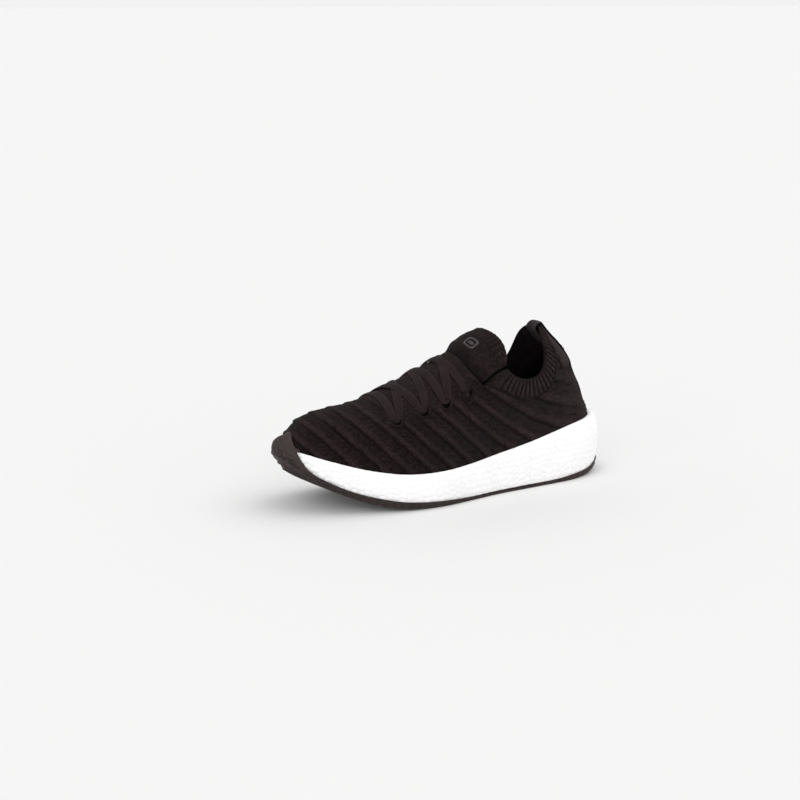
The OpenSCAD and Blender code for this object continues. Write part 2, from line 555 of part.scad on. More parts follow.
// Webbing from inside the collar, over its peak, and down the back to the foam
strap_rise = 1.6;
strap_inside = 5.4;
function strap_off(r) = r > 0.5 ? 1.7 : 0.4;
function back_line(r, d) =
    let (p = upper_ring(180, r), v = unit(upper_ring(180, r + 0.02) - upper_ring(180, r - 0.02)))
    p + d * [v[2], 0, -v[0]];
strap_outer = [for (r = [0.05, 0.15, 0.3, 0.45, 0.6, 0.72, 0.84, 0.93]) back_line(r, strap_off(r))];
strap_inner = [for (r = [0.98, 0.95, 0.92, 0.89]) back_line(r, -strap_inside)];
strap_lean = unit(upper_ring(180, 1) - upper_ring(180, 0.96));
strap_half = (strap_off(1) + strap_inside) / 2;
strap_top = [for (q = [20 : 28 : 160])
    back_line(1, strap_off(1) - strap_half + strap_half * cos(q)) + strap_rise * sin(q) * strap_lean];
strap_line = concat(strap_outer, strap_top, strap_inner);
module heel_strap() color("#191416") {
    translate([0, centre_y, 0]) rotate([90, 0, 0]) linear_extrude(strap_w, center = true) polygon(concat(
        [for (i = [0 : len(strap_line) - 1]) strap_side(i, 0)],
        [for (i = [len(strap_line) - 1 : -1 : 0]) strap_side(i, strap_t)]));
}
function strap_side(i, d) =
    let (a = strap_line[max(i - 1, 0)], b = strap_line[min(i + 1, len(strap_line) - 1)],
        v = unit([b[0] - a[0], b[2] - a[2]]))
    [strap_line[i][0], strap_line[i][2]] + d * [v[1], -v[0]];

// Bar of thread across the strap at a share of the heel's height
module strap_bar(r) {
    p = back_line(r, strap_off(r) + strap_t + 0.6);
    translate(p) rotate([90, 0, 0]) cylinder(h = strap_w - 2, r = 0.5, center = true, $fn = 24);
}
module strap_stitching() color("#6d5f52") {
    for (r = [0.07, 0.1, 0.7]) strap_bar(r);
}

// ---------- Tongue ----------

// Points of the tongue: w from -1 (medial) to 1 (lateral), v from its front edge to the foot opening
function tongue_at(w, v) =
    let (a = abs(w) * corner_angle,
        p = blend(ring_place(a, front_share(a)),
            [blend(opening_start, seam_end, w * w), abs(w) * opening_place(seam_end)[1]], v))
    instep_at(p[0], sign(w) * (p[1] - abs(w) * tongue_gap * 2));
tongue_w = [-1, -0.9, -0.75, -0.6, -0.45, -0.3, -0.15, 0, 0.15, 0.3, 0.45, 0.6, 0.75, 0.9, 1];
tongue_v = [0.012, 0.1, 0.22, 0.35, 0.5, 0.65, 0.8, 0.92, 1];
function bulge(w, v) = tongue_bulge * pow(1 - w * w, 0.7) * ramp(0, 0.4, v) * (1 - 0.6 * ramp(0.7, 1, v));
function tongue_grid(w_list, v_list) = [for (v = v_list) [for (w = w_list) tongue_at(w, v)]];
function tongue_top(w_list, v_list, d) = [for (v = v_list) [for (w = w_list) 0.4 + bulge(w, v) + d]];

module tongue_knit() color("#241d20") {
    skin_layer(tongue_grid(tongue_w, tongue_v), tongue_top(tongue_w, tongue_v, -1.5), tongue_top(tongue_w, tongue_v, 0));
}
module tongue_foam() color("#b9b4ac") {
    skin_layer(tongue_grid(tongue_w, tongue_v), -2.1, tongue_top(tongue_w, tongue_v, -1.6));
}
module tongue_lining() color("#171315") {
    skin_layer(tongue_grid(tongue_w, tongue_v), -2.2 - lining_t, -2.2);
}

// Plain patch on the front of the tongue
module tongue_patch() color("#3a3236") {
    g = tongue_grid(tongue_w, tongue_v);
    n = normals(g, false);
    top = pushed(g, n, tongue_top(tongue_w, tongue_v, 0.1));
    high = pushed(g, n, tongue_top(tongue_w, tongue_v, 0.7));
    layer(middle_of(high), middle_of(top));
}
// Middle columns and rows of the tongue's own grid
function middle_of(g) = [for (j = [4 : 6]) [for (i = [5 : 9]) g[j][i]]];

// Blank woven label inside the tongue
module size_label() color("#d9d5cf") {
    g = tongue_grid(tongue_w, tongue_v);
    n = normals(g, false);
    layer(middle_of(pushed(g, n, -2.3 - lining_t)), middle_of(pushed(g, n, -2.7 - lining_t)));
}

outsole();
midsole();
strobel_board();
strobel_stitching();
sockliner_foam();
sockliner_cover();
heel_counter();
toe_puff();
knit_upper();
rib_collar();
collar_seam();
heel_lining();
collar_pad_lateral();
collar_pad_medial();
eyestay_tape_lateral();
eyestay_tape_medial();
lace_loops();
laces();
aglets();
heel_tab();
heel_strap();
strap_stitching();
tongue_knit();
tongue_foam();
tongue_lining();
tongue_patch();
size_label();
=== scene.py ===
import math

import bpy
import numpy as np
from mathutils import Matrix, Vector


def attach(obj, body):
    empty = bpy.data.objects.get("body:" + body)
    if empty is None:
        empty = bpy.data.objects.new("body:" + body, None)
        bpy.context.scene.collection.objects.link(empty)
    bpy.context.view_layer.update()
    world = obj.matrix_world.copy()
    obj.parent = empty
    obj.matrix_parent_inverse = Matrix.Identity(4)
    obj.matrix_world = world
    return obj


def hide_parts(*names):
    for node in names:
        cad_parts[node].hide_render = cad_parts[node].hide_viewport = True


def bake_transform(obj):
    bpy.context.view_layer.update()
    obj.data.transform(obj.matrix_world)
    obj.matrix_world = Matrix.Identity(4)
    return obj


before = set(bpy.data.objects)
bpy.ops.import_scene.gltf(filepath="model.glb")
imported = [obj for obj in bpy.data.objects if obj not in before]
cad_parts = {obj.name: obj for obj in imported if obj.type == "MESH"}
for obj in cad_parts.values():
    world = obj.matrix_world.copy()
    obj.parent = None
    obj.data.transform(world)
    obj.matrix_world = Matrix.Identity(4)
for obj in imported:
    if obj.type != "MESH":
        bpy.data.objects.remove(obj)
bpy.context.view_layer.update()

MM = 0.001
SOLE_LEN = 295.0
CENTRE_Y = 1.3
UPPER_TOE, UPPER_HEEL = 7.0, 287.0
OPENING_START, SEAM_END, LEAN_START = 184.0, 188.5, 185.0
CORNER_ANGLE = 72.0
TONGUE_FRONT, TONGUE_CORNER = 0.79, 0.58
KNIT_T, TONGUE_BULGE, TONGUE_FLARE = 2.4, 3.6, 20.0
OUTSOLE_T, BUMPER_T, TREAD_DEPTH, RUBBER_GAP, BOND = 3.0, 2.5, 1.2, 0.4, 0.1
LUG_PITCH, LUG_ROW = 20.0, 0.866
RIM_HEIGHT = 4.0
STROBEL_T, SOCKLINER_T, COVER_T = 1.2, 4.5, 0.8
COUNTER_T, LOOSE, LINING_T, PAD_T = 1.3, 0.5, 0.8, 4.0
EYELETS, EYELET_ANGLES = (87.0, 110.0, 130.0, 151.0), (44.5, 45.0, 47.0, 50.5)
LACE_W, LACE_T = 7.2, 1.2
STRAP_W, STRAP_T, STRAP_RISE, STRAP_INSIDE = 14.0, 1.2, 1.6, 5.4
TAB_ANGLE = 132.0

SOLE_LATERAL = (
    (0, 66), (0.1, 57), (0.2, 54), (0.3, 54), (0.4, 51), (0.5, 45), (0.6, 41), (0.7, 43), (0.85, 53), (1, 68),
)
SOLE_MEDIAL = (
    (0, 72), (0.1, 65), (0.2, 58), (0.3, 53), (0.4, 42), (0.5, 35), (0.6, 34), (0.7, 39), (0.85, 52), (1, 68),
)
SOLE_MIDDLE = ((0, 10), (0.15, 4), (0.3, 0), (0.6, -3), (0.8, 0), (1, 0))
SOLE_BOTTOM = (
    (0, 37), (0.03, 30), (0.06, 25.5), (0.1, 20), (0.2, 7.8), (0.3, 1.7), (0.4, 0), (0.6, 0), (0.86, 0),
    (0.93, 2.6), (1, 8),
)
SOLE_RIM = (
    (0, 51.5), (0.03, 49.5), (0.1, 43), (0.2, 34.5), (0.3, 29.5), (0.4, 28.7), (0.5, 30.4), (0.6, 34),
    (0.7, 38.6), (0.85, 47), (1, 50.5),
)
RUBBER_TOP = (
    (0, 63), (0.003, 58.5), (0.008, 54.2), (0.018, 51.6), (0.0257, 49.6), (0.0323, 45.5), (0.0466, 37.8),
    (0.069, 31.3), (0.1, 25.7), (0.132, 21), (0.183, 15.3), (0.234, 11.2), (0.274, 8.6), (0.33, 6.4),
    (0.4, 4.8), (0.86, 4.6), (0.93, 7.2), (1, 12.6),
)
WALL_INSET = (
    (-0.3, 4.5), (-0.1, 3), (0, 2.2), (0.15, 1), (0.4, 0), (0.75, 0.5), (0.92, 2.2), (1, 4.2), (1.2, 6.5),
    (1.45, 9),
)
UPPER_LATERAL = (
    (0, 62), (0.1, 54), (0.2, 51.5), (0.3, 51), (0.4, 49), (0.5, 43.5), (0.6, 39.5), (0.7, 41), (0.85, 48),
    (1, 58),
)
UPPER_MEDIAL = (
    (0, 68), (0.1, 61), (0.2, 55), (0.3, 50), (0.4, 41), (0.5, 35.5), (0.6, 34), (0.7, 38), (0.85, 47),
    (1, 58),
)
UPPER_MIDDLE = ((0, 10), (0.15, 4), (0.3, 0), (0.6, -2), (0.8, 0), (1, 0))
CROWN = (
    (7, 50), (9, 57), (13, 64), (20, 71), (34, 76.5), (50, 79), (66, 81), (86, 86.5), (106, 95), (128, 104),
    (150, 113.5), (165, 121), (176, 127.5), (184, 131.5), (190, 133.8), (196, 135.6), (206, 138), (230, 142),
    (287, 150),
)
SQUARENESS = ((7, 2.2), (60, 2.2), (120, 2), (160, 2.5), (190, 3.2), (204, 2.6), (287, 2.6))
HEEL_LINE = (
    (40, 283.2), (47, 282.6), (52, 280.7), (60, 277), (73, 272.5), (83, 267.5), (91, 264), (102, 257.5),
    (112, 249.5), (119, 242.5), (126, 236.5), (130, 233.5), (140, 227),
)
HEEL_RISE = ((243, 102), (251, 108), (260, 114), (268, 119), (275, 123.5), (281, 127), (287, 129.5))
COLLAR_LINE = (
    (-60, 150), (60, 146), (120, 141), (165, 136), (178, 133), (184, 131.5), (188, 127.5), (192, 116),
    (196, 102), (203, 94.5), (212, 91.3), (223, 91.8), (232, 95), *HEEL_RISE,
)
OPENING_LINE = (
    (188.5, 102), (193, 97.6), (199, 94), (209, 91.3), (219, 91.2), (228, 93.2), (235.5, 96.9), (243, 102),
    *HEEL_RISE[1:],
)
# Lower edge of the ribbed band as (distance from the toe, height), from the tongue's corner to the heel
BAND_EDGE = (
    (167, 92), (174.5, 89.1), (182.2, 85.3), (191.5, 80.2), (202, 77), (215, 76.2), (228, 78.5), (241, 84),
    (249.5, 90.5), (258, 98.5), (266, 107), (275, 116), (287, 125.5),
)
# Distance from the toe of the band's lower end of each rib against its share of the way round to the heel
RIB_FOOT = (
    (0, 167), (0.046, 181), (0.107, 189.5), (0.208, 203.5), (0.31, 218.5), (0.401, 231.5), (0.477, 241.5),
    (0.553, 250.5), (0.635, 258.5), (0.726, 266.5), (0.807, 273), (0.939, 283), (1, 287),
)
# Where the knit's raised ridges run: upright at the toe, lying down towards the heel
RIDGE_BEND = (
    (0, 0), (140, 140), (157.5, 155.6), (185, 175.4), (217, 193.3), (238, 201), (263, 206), (287, 209),
    (300, 210),
)
RIDGE_FIRST, RIDGE_PITCH, RIDGE_SLANT = 31.0, 18.0, 0.95
RIB_COUNT = 27
BEAD_W, BEAD_H = 5.6, 5.2
FACET_W, FACET_H = 5.5, 5.0


# ---------- Curves and surfaces, as in part.scad ----------
def curve(points, x):
    """Smooth curve through a table of (x, y) points."""
    table = np.array(points, float)
    xs, ys = table[:, 0], table[:, 1]
    step = np.diff(xs)
    slope = np.diff(ys) / step
    inner = (slope[:-1] * step[1:] + slope[1:] * step[:-1]) / (step[1:] + step[:-1])
    bend = np.concatenate([slope[:1], inner, slope[-1:]])
    x = np.clip(np.asarray(x, float), xs[0], xs[-1])
    i = np.clip(np.searchsorted(xs, x) - 1, 0, len(xs) - 2)
    h = step[i]
    u = (x - xs[i]) / h
    start = (1 + 2 * u) * (1 - u) ** 2 * ys[i] + u * (1 - u) ** 2 * h * bend[i]
    return start + u * u * (3 - 2 * u) * ys[i + 1] + u * u * (u - 1) * h * bend[i + 1]


def ramp(a, b, x):
    u = np.clip((x - a) / (b - a), 0, 1)
    return u * u * (3 - 2 * u)


def fade(a, b, x):
    return 1 - ramp(a, b, x)


def bell(x, width):
    return np.exp(-((x / width) ** 2))


def mix(a, b, u):
    return a + (b - a) * u


def unit(v):
    return v / np.maximum(np.linalg.norm(v, axis=-1, keepdims=True), 1e-9)


def steps(g, axis=0):
    """Distances between neighbours in a grid of points."""
    return np.linalg.norm(np.diff(g, axis=axis), axis=-1)


def travelled(g, axis=0):
    """Distance travelled along a grid of points."""
    return np.insert(np.cumsum(steps(g, axis), axis), 0, 0, axis)


def sin_deg(a):
    return np.sin(np.radians(a))


def cos_deg(a):
    return np.cos(np.radians(a))


def place(x, y, z):
    return np.stack(np.broadcast_arrays(x - SOLE_LEN / 2, y + CENTRE_Y, z), -1).astype(float)


def along(a):
    return (1 - cos_deg(a)) / 2


def side_of(a):
    return np.where(np.mod(a, 360) < 180, -1.0, 1.0)


def sole_plan(a):
    t = along(a)
    half = np.where(side_of(a) < 0, curve(SOLE_LATERAL, t), curve(SOLE_MEDIAL, t))
    return np.stack([SOLE_LEN * t, curve(SOLE_MIDDLE, t) + side_of(a) * half * np.abs(sin_deg(a))], -1)


def sole_out(a):
    v = unit(sole_plan(a + 1) - sole_plan(a - 1))
    return np.stack([v[..., 1], -v[..., 0]], -1)


def sole_at(a, inset, z):
    p = sole_plan(a) - np.asarray(inset)[..., None] * sole_out(a)
    return place(p[..., 0], p[..., 1], z)


def tread_z(t):
    return np.maximum(curve(SOLE_BOTTOM, t), 0)


def tread_at(a, inset, z):
    p = sole_plan(a) - np.asarray(inset)[..., None] * sole_out(a)
    return place(p[..., 0], p[..., 1], tread_z(p[..., 0] / SOLE_LEN) + z)


def foam_bottom(a):
    return tread_z(along(a)) + OUTSOLE_T


def toe_share(a):
    return fade(0.05, 0.3, along(a))


def foam_inset(a, z):
    share = (z - foam_bottom(a)) / (curve(SOLE_RIM, along(a)) - foam_bottom(a))
    inset = curve(WALL_INSET, share)
    flare = mix(0.22, 1, ramp(0.62, 0.98, along(a)))
    return np.where(share > 0.5, inset * flare, inset) + BUMPER_T * toe_share(a)


def feather(xi):
    return curve(SOLE_RIM, xi / SOLE_LEN) - RIM_HEIGHT


def upper_at(xi, side, z):
    """The knit's outer face at a distance from the toe, on one side, at a height."""
    t = (xi - UPPER_TOE) / (UPPER_HEEL - UPPER_TOE)
    half = np.where(side < 0, curve(UPPER_LATERAL, t), curve(UPPER_MEDIAL, t))
    low = feather(xi)
    tau = np.clip((z - low) / (curve(CROWN, xi) - low), 0, 1)
    tuck = 1 - 0.05 * np.maximum(1 - (z - low) / 9, 0) ** 2
    wide = half * 2 * np.sqrt(np.maximum(t * (1 - t), 0)) * tuck
    lean = (curve(HEEL_LINE, z) - curve(HEEL_LINE, feather(UPPER_HEEL))) * ramp(LEAN_START, UPPER_HEEL, xi)
    y = curve(UPPER_MIDDLE, t) * (1 - 0.4 * tau)
    round_off = np.sqrt(np.maximum(1 - tau ** curve(SQUARENESS, xi), 0))
    return place(xi + lean, y + side * wide * round_off, z)


def ring_share(xi):
    return (curve(CROWN, xi) - feather(xi)) / (curve(COLLAR_LINE, xi) - feather(xi))


RING_XI = np.append(np.arange(UPPER_TOE, OPENING_START, 1.0), OPENING_START)
RING_SHARES = np.maximum.accumulate(np.append(ring_share(RING_XI[:-1]), 1.0))


def ring_coords(a, r):
    """(distance from the toe, height) at an angle around the shoe and a share of the upper's height."""
    start = np.interp(r, RING_SHARES, RING_XI)
    xi = start + (UPPER_HEEL - start) * along(a)
    low = feather(xi)
    return xi, low + r * (curve(COLLAR_LINE, xi) - low)


def upper_ring(a, r):
    xi, z = ring_coords(a, r)
    return upper_at(xi, side_of(a), z)


def foot_xi(a):
    """Distance from the toe of the knit's lower edge at an angle around the shoe."""
    return UPPER_TOE + (UPPER_HEEL - UPPER_TOE) * along(a)


def upper_foot(a, h):
    xi = foot_xi(a)
    return upper_ring(a, h / (curve(COLLAR_LINE, xi) - feather(xi)))


def instep_at(xi, q):
    low, top = feather(xi), curve(CROWN, xi)
    height = low + (top - low) * np.maximum(cos_deg(q), 0) ** (2 / curve(SQUARENESS, xi))
    return upper_at(xi, np.where(q > 0, -1.0, 1.0), height)


def instep_out(xi, q):
    across = instep_at(xi, q + 1) - instep_at(xi, q - 1)
    return unit(np.cross(across, instep_at(xi + 1, q) - instep_at(xi - 1, q)))


def over_instep(xi, q, h):
    return instep_at(xi, q) + np.asarray(h, float)[..., None] * instep_out(xi, q)


def down_at(xi, z):
    share = np.clip((z - feather(xi)) / (curve(CROWN, xi) - feather(xi)), 0, 1)
    return np.degrees(np.arccos(share ** (curve(SQUARENESS, xi) / 2)))


def ring_place(a, r):
    xi, z = ring_coords(a, r)
    return xi, down_at(xi, z)


def fold(a):
    """Angle around the shoe on either side of the toe, 0 to 180."""
    return np.where(a > 180, 360 - a, a)


def front_share(a):
    return mix(TONGUE_FRONT, TONGUE_CORNER, (a / CORNER_ANGLE) ** 2)


def band_place(b):
    """Place on the ribbed band's lower edge at an angle round the shoe, tongue's corner to heel."""
    u = np.clip((along(b) - along(CORNER_ANGLE)) / (1 - along(CORNER_ANGLE)), 0, 1)
    start = ring_place(CORNER_ANGLE, TONGUE_CORNER)
    xi = curve(RIB_FOOT, u) + (start[0] - RIB_FOOT[0][1]) * fade(0, 0.1, u)
    return xi, mix(start[1], down_at(xi, curve(BAND_EDGE, xi)), ramp(start[0], start[0] + 6, xi))


def knit_place(a, v):
    """Place on the knit between its lower edge (v = 0) and its upper edge (v = 1)."""
    b = fold(a)
    xi_ring, z = ring_coords(b, v * front_share(np.minimum(b, CORNER_ANGLE)))
    xi_edge, q_edge = band_place(np.maximum(b, CORNER_ANGLE))
    share = ramp(48, CORNER_ANGLE, b)
    xi = mix(xi_ring, mix(foot_xi(b), xi_edge, v), share)
    return xi, mix(down_at(xi_ring, z), mix(90.0, q_edge, v), share)


def cuff_at(a, v):
    b = fold(a)
    u = (along(b) - along(CORNER_ANGLE)) / (1 - along(CORNER_ANGLE))
    xi0, q0 = band_place(b)
    xi1 = mix(SEAM_END, UPPER_HEEL, u)
    q1 = down_at(xi1, curve(OPENING_LINE, xi1))
    return instep_at(mix(xi0, xi1, v), np.where(a > 180, -1, 1) * mix(q0, q1, v))


SEAM_DOWN = down_at(SEAM_END, curve(OPENING_LINE, SEAM_END))


def tongue_at(w, v):
    a = np.abs(w) * CORNER_ANGLE
    xi0, q0 = ring_place(a, front_share(a))
    rear = mix(OPENING_START, SEAM_END, w * w) + TONGUE_FLARE * w * w * (1 - w * w)
    xi = mix(xi0, rear, v)
    q = mix(q0, np.abs(w) * SEAM_DOWN, v)
    return instep_at(xi, np.sign(w) * (q - np.abs(w) * 2.4))


# ---------- Meshes ----------
def normals(g, wrap=False):
    across = np.roll(g, -1, 1) - np.roll(g, 1, 1) if wrap else np.gradient(g, axis=1)
    return unit(np.cross(across, np.gradient(g, axis=0)))


def shell(outer, inner, top=1.0, bottom=1.0, steps=4):
    """Rows round a layer's section: up its outer face, over a rounded edge, down its inner face and back."""
    turns = np.linspace(0, math.pi, steps + 2)[1:-1]

    def edge(near, far, beyond, size):
        middle, half = (near + far) / 2, (near - far) / 2
        reach = unit(beyond) * np.linalg.norm(half, axis=-1, keepdims=True) * size
        return [middle + half * math.cos(q) + reach * math.sin(q) for q in turns]

    over = edge(outer[-1], inner[-1], outer[-1] - outer[-2], top)
    under = edge(inner[0], outer[0], outer[0] - outer[1], bottom)
    return np.concatenate([outer, over, inner[::-1], under])


def numbered(rows, first):
    """Point numbers of a grid, and the four-sided faces between each of its rows and the next."""
    index = np.arange(rows.shape[0] * rows.shape[1]).reshape(rows.shape[:2]) + first
    up = np.roll(index, -1, 0)
    return index, np.stack([index, np.roll(index, -1, 1), np.roll(up, -1, 1), up], -1)


def loop_faces(rows, first=0):
    """Faces of a tube whose rows close on themselves and whose ends are capped."""
    index, quads = numbered(rows, first)
    return quads[:, :-1].reshape(-1, 4).tolist() + [index[:, 0].tolist(), index[::-1, -1].tolist()]


def ring_faces(rows, first=0):
    """Faces of a tube that closes both ways."""
    return numbered(rows, first)[1].reshape(-1, 4).tolist()


def stack_faces(rows, first=0):
    """Faces of closed rings stacked bottom to top, with strips across the shoe at both ends."""
    index, quads = numbered(rows, first)
    cols = rows.shape[1]
    i = np.arange(1, cols // 2 - 1)
    strips = np.stack([i, i + 1, cols - i - 1, cols - i], -1)
    caps = [*strips, np.array([0, 1, cols - 1]), np.array([cols // 2 - 1, cols // 2, cols // 2 + 1])]
    faces = quads[:-1].reshape(-1, 4).tolist() + [index[0][cap[::-1]].tolist() for cap in caps]
    return faces + [index[-1][cap].tolist() for cap in caps]


def joined(parts):
    """Points and faces of several surfaces in one piece, from (rows, maker of faces) pairs."""
    points, faces, first = [], [], 0
    for rows, make_faces in parts:
        faces += make_faces(rows, first)
        first += rows.shape[0] * rows.shape[1]
        points.append(rows.reshape(-1, 3))
    return np.concatenate(points), faces


def add_mesh(name, node, look, points, faces, uv=None, shade=None, body="shoe", slot=None):
    """A piece from points in millimetres, with its cloth coordinates and a tone per point that scales its
    colour: painted shade and highlights, along with the piece's own lighter and darker patches.
    """
    flat = points.reshape(-1, 3)
    mesh = bpy.data.meshes.new(name)
    mesh.from_pydata((flat * MM).tolist(), [], faces)
    corner = np.zeros(len(mesh.loops), np.int32)
    mesh.loops.foreach_get("vertex_index", corner)
    if uv is None:
        uv = np.stack([flat[:, 0] + 0.3 * flat[:, 1], flat[:, 2] + flat[:, 1]], -1)
    layer = mesh.uv_layers.new(name="weave")
    layer.data.foreach_set("uv", uv.reshape(-1, 2)[corner].astype(np.float32).ravel())
    tone = np.ones(len(flat)) if shade is None else shade.ravel()
    attribute = mesh.attributes.new("shade", "FLOAT", "POINT")
    attribute.data.foreach_set("value", tone.astype(np.float32))
    mesh.polygons.foreach_set("use_smooth", np.ones(len(mesh.polygons), bool))
    mesh.validate()
    mesh.update()
    mesh.materials.append(LOOKS[look])
    piece = bpy.data.objects.new(name, mesh)
    bpy.context.scene.collection.objects.link(piece)
    if body:
        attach(piece, body)
    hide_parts(node)
    return piece


def cloth_coords(rows):
    """Distances in millimetres along and up a grid, for weaves."""
    return np.stack([travelled(rows, 1), travelled(rows)], -1)


def add_layer(name, node, look, outer, inner, faces=loop_faces, shade=1.0, rest=0.6, body="shoe", **edges):
    """A closed layer between two grids. rest is the tone of its edges and inner face, a painted shade where
    it is below 1.
    """
    rows = shell(outer, inner, **edges)
    tone = np.full(rows.shape[:2], float(rest))
    tone[: len(outer)] = shade
    return add_mesh(name, node, look, rows, faces(rows), cloth_coords(rows), tone, body)


def turn(count):
    """Even angles of one full turn."""
    return np.linspace(0, 2 * math.pi, count, endpoint=False)


def bent(c, power):
    """A cosine or sine bent to a power, for rounded oblongs."""
    return np.sign(c) * np.abs(c) ** power


def rough(x, y, seed, sizes=(31.0, 13.0, 5.3)):
    """Gentle wandering values about zero, the same on every run."""
    rng = np.random.default_rng(seed)
    total = 0
    for size in sizes:
        for _ in range(3):
            angle, shift = rng.uniform(0, 2 * np.pi, 2)
            total = total + np.sin((x * np.cos(angle) + y * np.sin(angle)) * 6.28 / size + shift)
    return total / (3 * len(sizes))


def cells(u, v, seed, around):
    """Scattered cells on a unit grid: distance to the nearest centre, gap to the next, and a random tone."""
    rng = np.random.default_rng(seed)
    jitter = rng.uniform(-0.34, 0.34, (around, 97, 2))
    tones = rng.uniform(0, 1, (around, 97))
    iu, iv = np.floor(u).astype(int), np.floor(v).astype(int)
    near, second, tone = np.full(u.shape, 9.0), np.full(u.shape, 9.0), np.zeros(u.shape)
    for du in (-1, 0, 1):
        for dv in (-1, 0, 1):
            cu, cv = iu + du, iv + dv
            shift = jitter[cu % around, cv % 97]
            d = np.hypot(u - cu - 0.5 - shift[..., 0], v - cv - 0.5 - shift[..., 1])
            second = np.minimum(second, np.maximum(near, d))
            tone = np.where(d < near, tones[cu % around, cv % 97], tone)
            near = np.minimum(near, d)
    return near, second - near, tone


# ---------- Materials ----------
class Tree:
    """A material's nodes, with short names for the few that are used."""

    def __init__(self, name, roughness, specular=0.3, sheen=0.0, sheen_tint=(1, 1, 1)):
        self.material = bpy.data.materials.new(name)
        self.material.use_nodes = True
        self.nodes = self.material.node_tree.nodes
        self.links = self.material.node_tree.links
        self.shader = self.nodes["Principled BSDF"].inputs
        self.shader["Roughness"].default_value = roughness
        self.shader["Specular IOR Level"].default_value = specular
        self.shader["Sheen Weight"].default_value = sheen
        self.shader["Sheen Roughness"].default_value = 0.45
        self.shader["Sheen Tint"].default_value = (*sheen_tint, 1)
        uv = self.add("UVMap", uv_map="weave").outputs[0]
        self.u, self.v = self.add("SeparateXYZ", {0: uv}).outputs[:2]
        self.solid = self.add("TexCoord").outputs["Object"]

    def put(self, socket, value):
        if isinstance(value, bpy.types.NodeSocket):
            self.links.new(value, socket)
        else:
            socket.default_value = value

    def add(self, kind, inputs=(), **settings):
        node = self.nodes.new("ShaderNode" + kind)
        for key, value in settings.items():
            setattr(node, key, value)
        for key, value in dict(inputs).items():
            self.put(node.inputs[key], value)
        return node

    def math(self, kind, *values):
        return self.add("Math", enumerate(values), operation=kind).outputs[0]

    def noise(self, scale, detail=3.0):
        inputs = {"Vector": self.solid, "Scale": scale, "Detail": detail}
        return self.add("TexNoise", inputs).outputs["Fac"]

    def spread(self, value, low, high):
        """A noise value stretched from low to high over its usual range."""
        inputs = {"Value": value, "From Min": 0.3, "From Max": 0.7, "To Min": low, "To Max": high}
        return self.add("MapRange", inputs).outputs[0]

    def roughen(self, value, low, high):
        self.put(self.shader["Roughness"], self.spread(value, low, high))

    def shade(self):
        return self.add("Attribute", attribute_name="shade").outputs["Fac"]

    def colour(self, factor, dark, light, tone):
        """Blends dark to light by a factor, then scales the result by a tone."""
        inputs = {"Factor": factor, "A": (*dark, 1), "B": (*light, 1)}
        blend = self.add("Mix", inputs, data_type="RGBA").outputs["Result"]
        scaled = self.add("VectorMath", {0: blend, "Scale": tone}, operation="SCALE")
        self.put(self.shader["Base Color"], scaled.outputs[0])

    def bump(self, height, distance):
        node = self.add("Bump", {"Distance": distance * MM, "Strength": 1.0, "Height": height})
        self.put(self.shader["Normal"], node.outputs[0])

    def wave(self, value, pitch):
        """A sine from 0 to 1 with a period of pitch millimetres."""
        sine = self.math("SINE", self.math("MULTIPLY", value, 2 * math.pi / pitch))
        return self.math("MULTIPLY_ADD", sine, 0.5, 0.5)

    def stitches(self, pitch, row):
        """Plain knit: columns of V shaped stitches."""
        place_in = self.math("FRACT", self.math("DIVIDE", self.u, pitch))
        middle = self.math("ABSOLUTE", self.math("SUBTRACT", place_in, 0.5))
        slanted = self.math("ADD", self.v, self.math("MULTIPLY", middle, row * 1.4))
        groove = self.math("MULTIPLY", self.math("SUBTRACT", 0.5, middle), 2.0)
        return self.math("MULTIPLY", self.wave(slanted, row), self.math("POWER", groove, 0.5))

    def twill(self, pitch):
        """Over and under weave with a diagonal step."""
        first = self.wave(self.math("ADD", self.u, self.v), pitch)
        return self.math("MAXIMUM", first, self.wave(self.math("SUBTRACT", self.u, self.v), pitch))


def knit_material(name, dark, light, pitch, row, depth):
    t = Tree(name, 0.9, 0.06, 0.05, (0.75, 0.68, 0.7))
    stitch, fuzz = t.stitches(pitch, row), t.noise(900.0)
    patch = t.spread(t.noise(60.0, 2.0), 0.85, 1.15)
    patch = t.math("MULTIPLY", patch, t.spread(t.noise(480.0, 2.0), 0.55, 1.42))
    factor = t.math("MULTIPLY_ADD", stitch, 0.55, t.math("MULTIPLY", fuzz, 0.45))
    t.colour(factor, dark, light, t.math("MULTIPLY", t.shade(), patch))
    t.bump(t.math("MULTIPLY_ADD", fuzz, 0.5, stitch), depth)
    t.roughen(fuzz, 0.8, 0.97)
    return t.material


def woven_material(name, dark, light, pitch, depth, roughness=(0.65, 0.85)):
    t = Tree(name, 0.8, 0.08, 0.04, (0.8, 0.75, 0.76))
    weave, fuzz = t.twill(pitch), t.noise(700.0)
    patch = t.spread(t.noise(90.0, 2.0), 0.85, 1.12)
    factor = t.math("MULTIPLY_ADD", weave, 0.7, t.math("MULTIPLY", fuzz, 0.3))
    t.colour(factor, dark, light, t.math("MULTIPLY", t.shade(), patch))
    t.bump(t.math("MULTIPLY_ADD", fuzz, 0.35, weave), depth)
    t.roughen(fuzz, *roughness)
    return t.material


def moulded_material(name, dark, light, grain, depth, roughness, specular):
    t = Tree(name, 0.5, specular)
    wide = t.noise(70.0)
    t.colour(t.spread(wide, 0.0, 1.0), dark, light, t.shade())
    t.bump(t.noise(grain), depth)
    t.roughen(wide, *roughness)
    return t.material


def thread_material(name, dark, light):
    t = Tree(name, 0.7, 0.08, 0.02)
    twist = t.wave(t.math("ADD", t.u, t.v), 0.7)
    t.colour(twist, dark, light, t.shade())
    t.bump(twist, 0.12)
    t.roughen(t.noise(800.0), 0.5, 0.75)
    return t.material


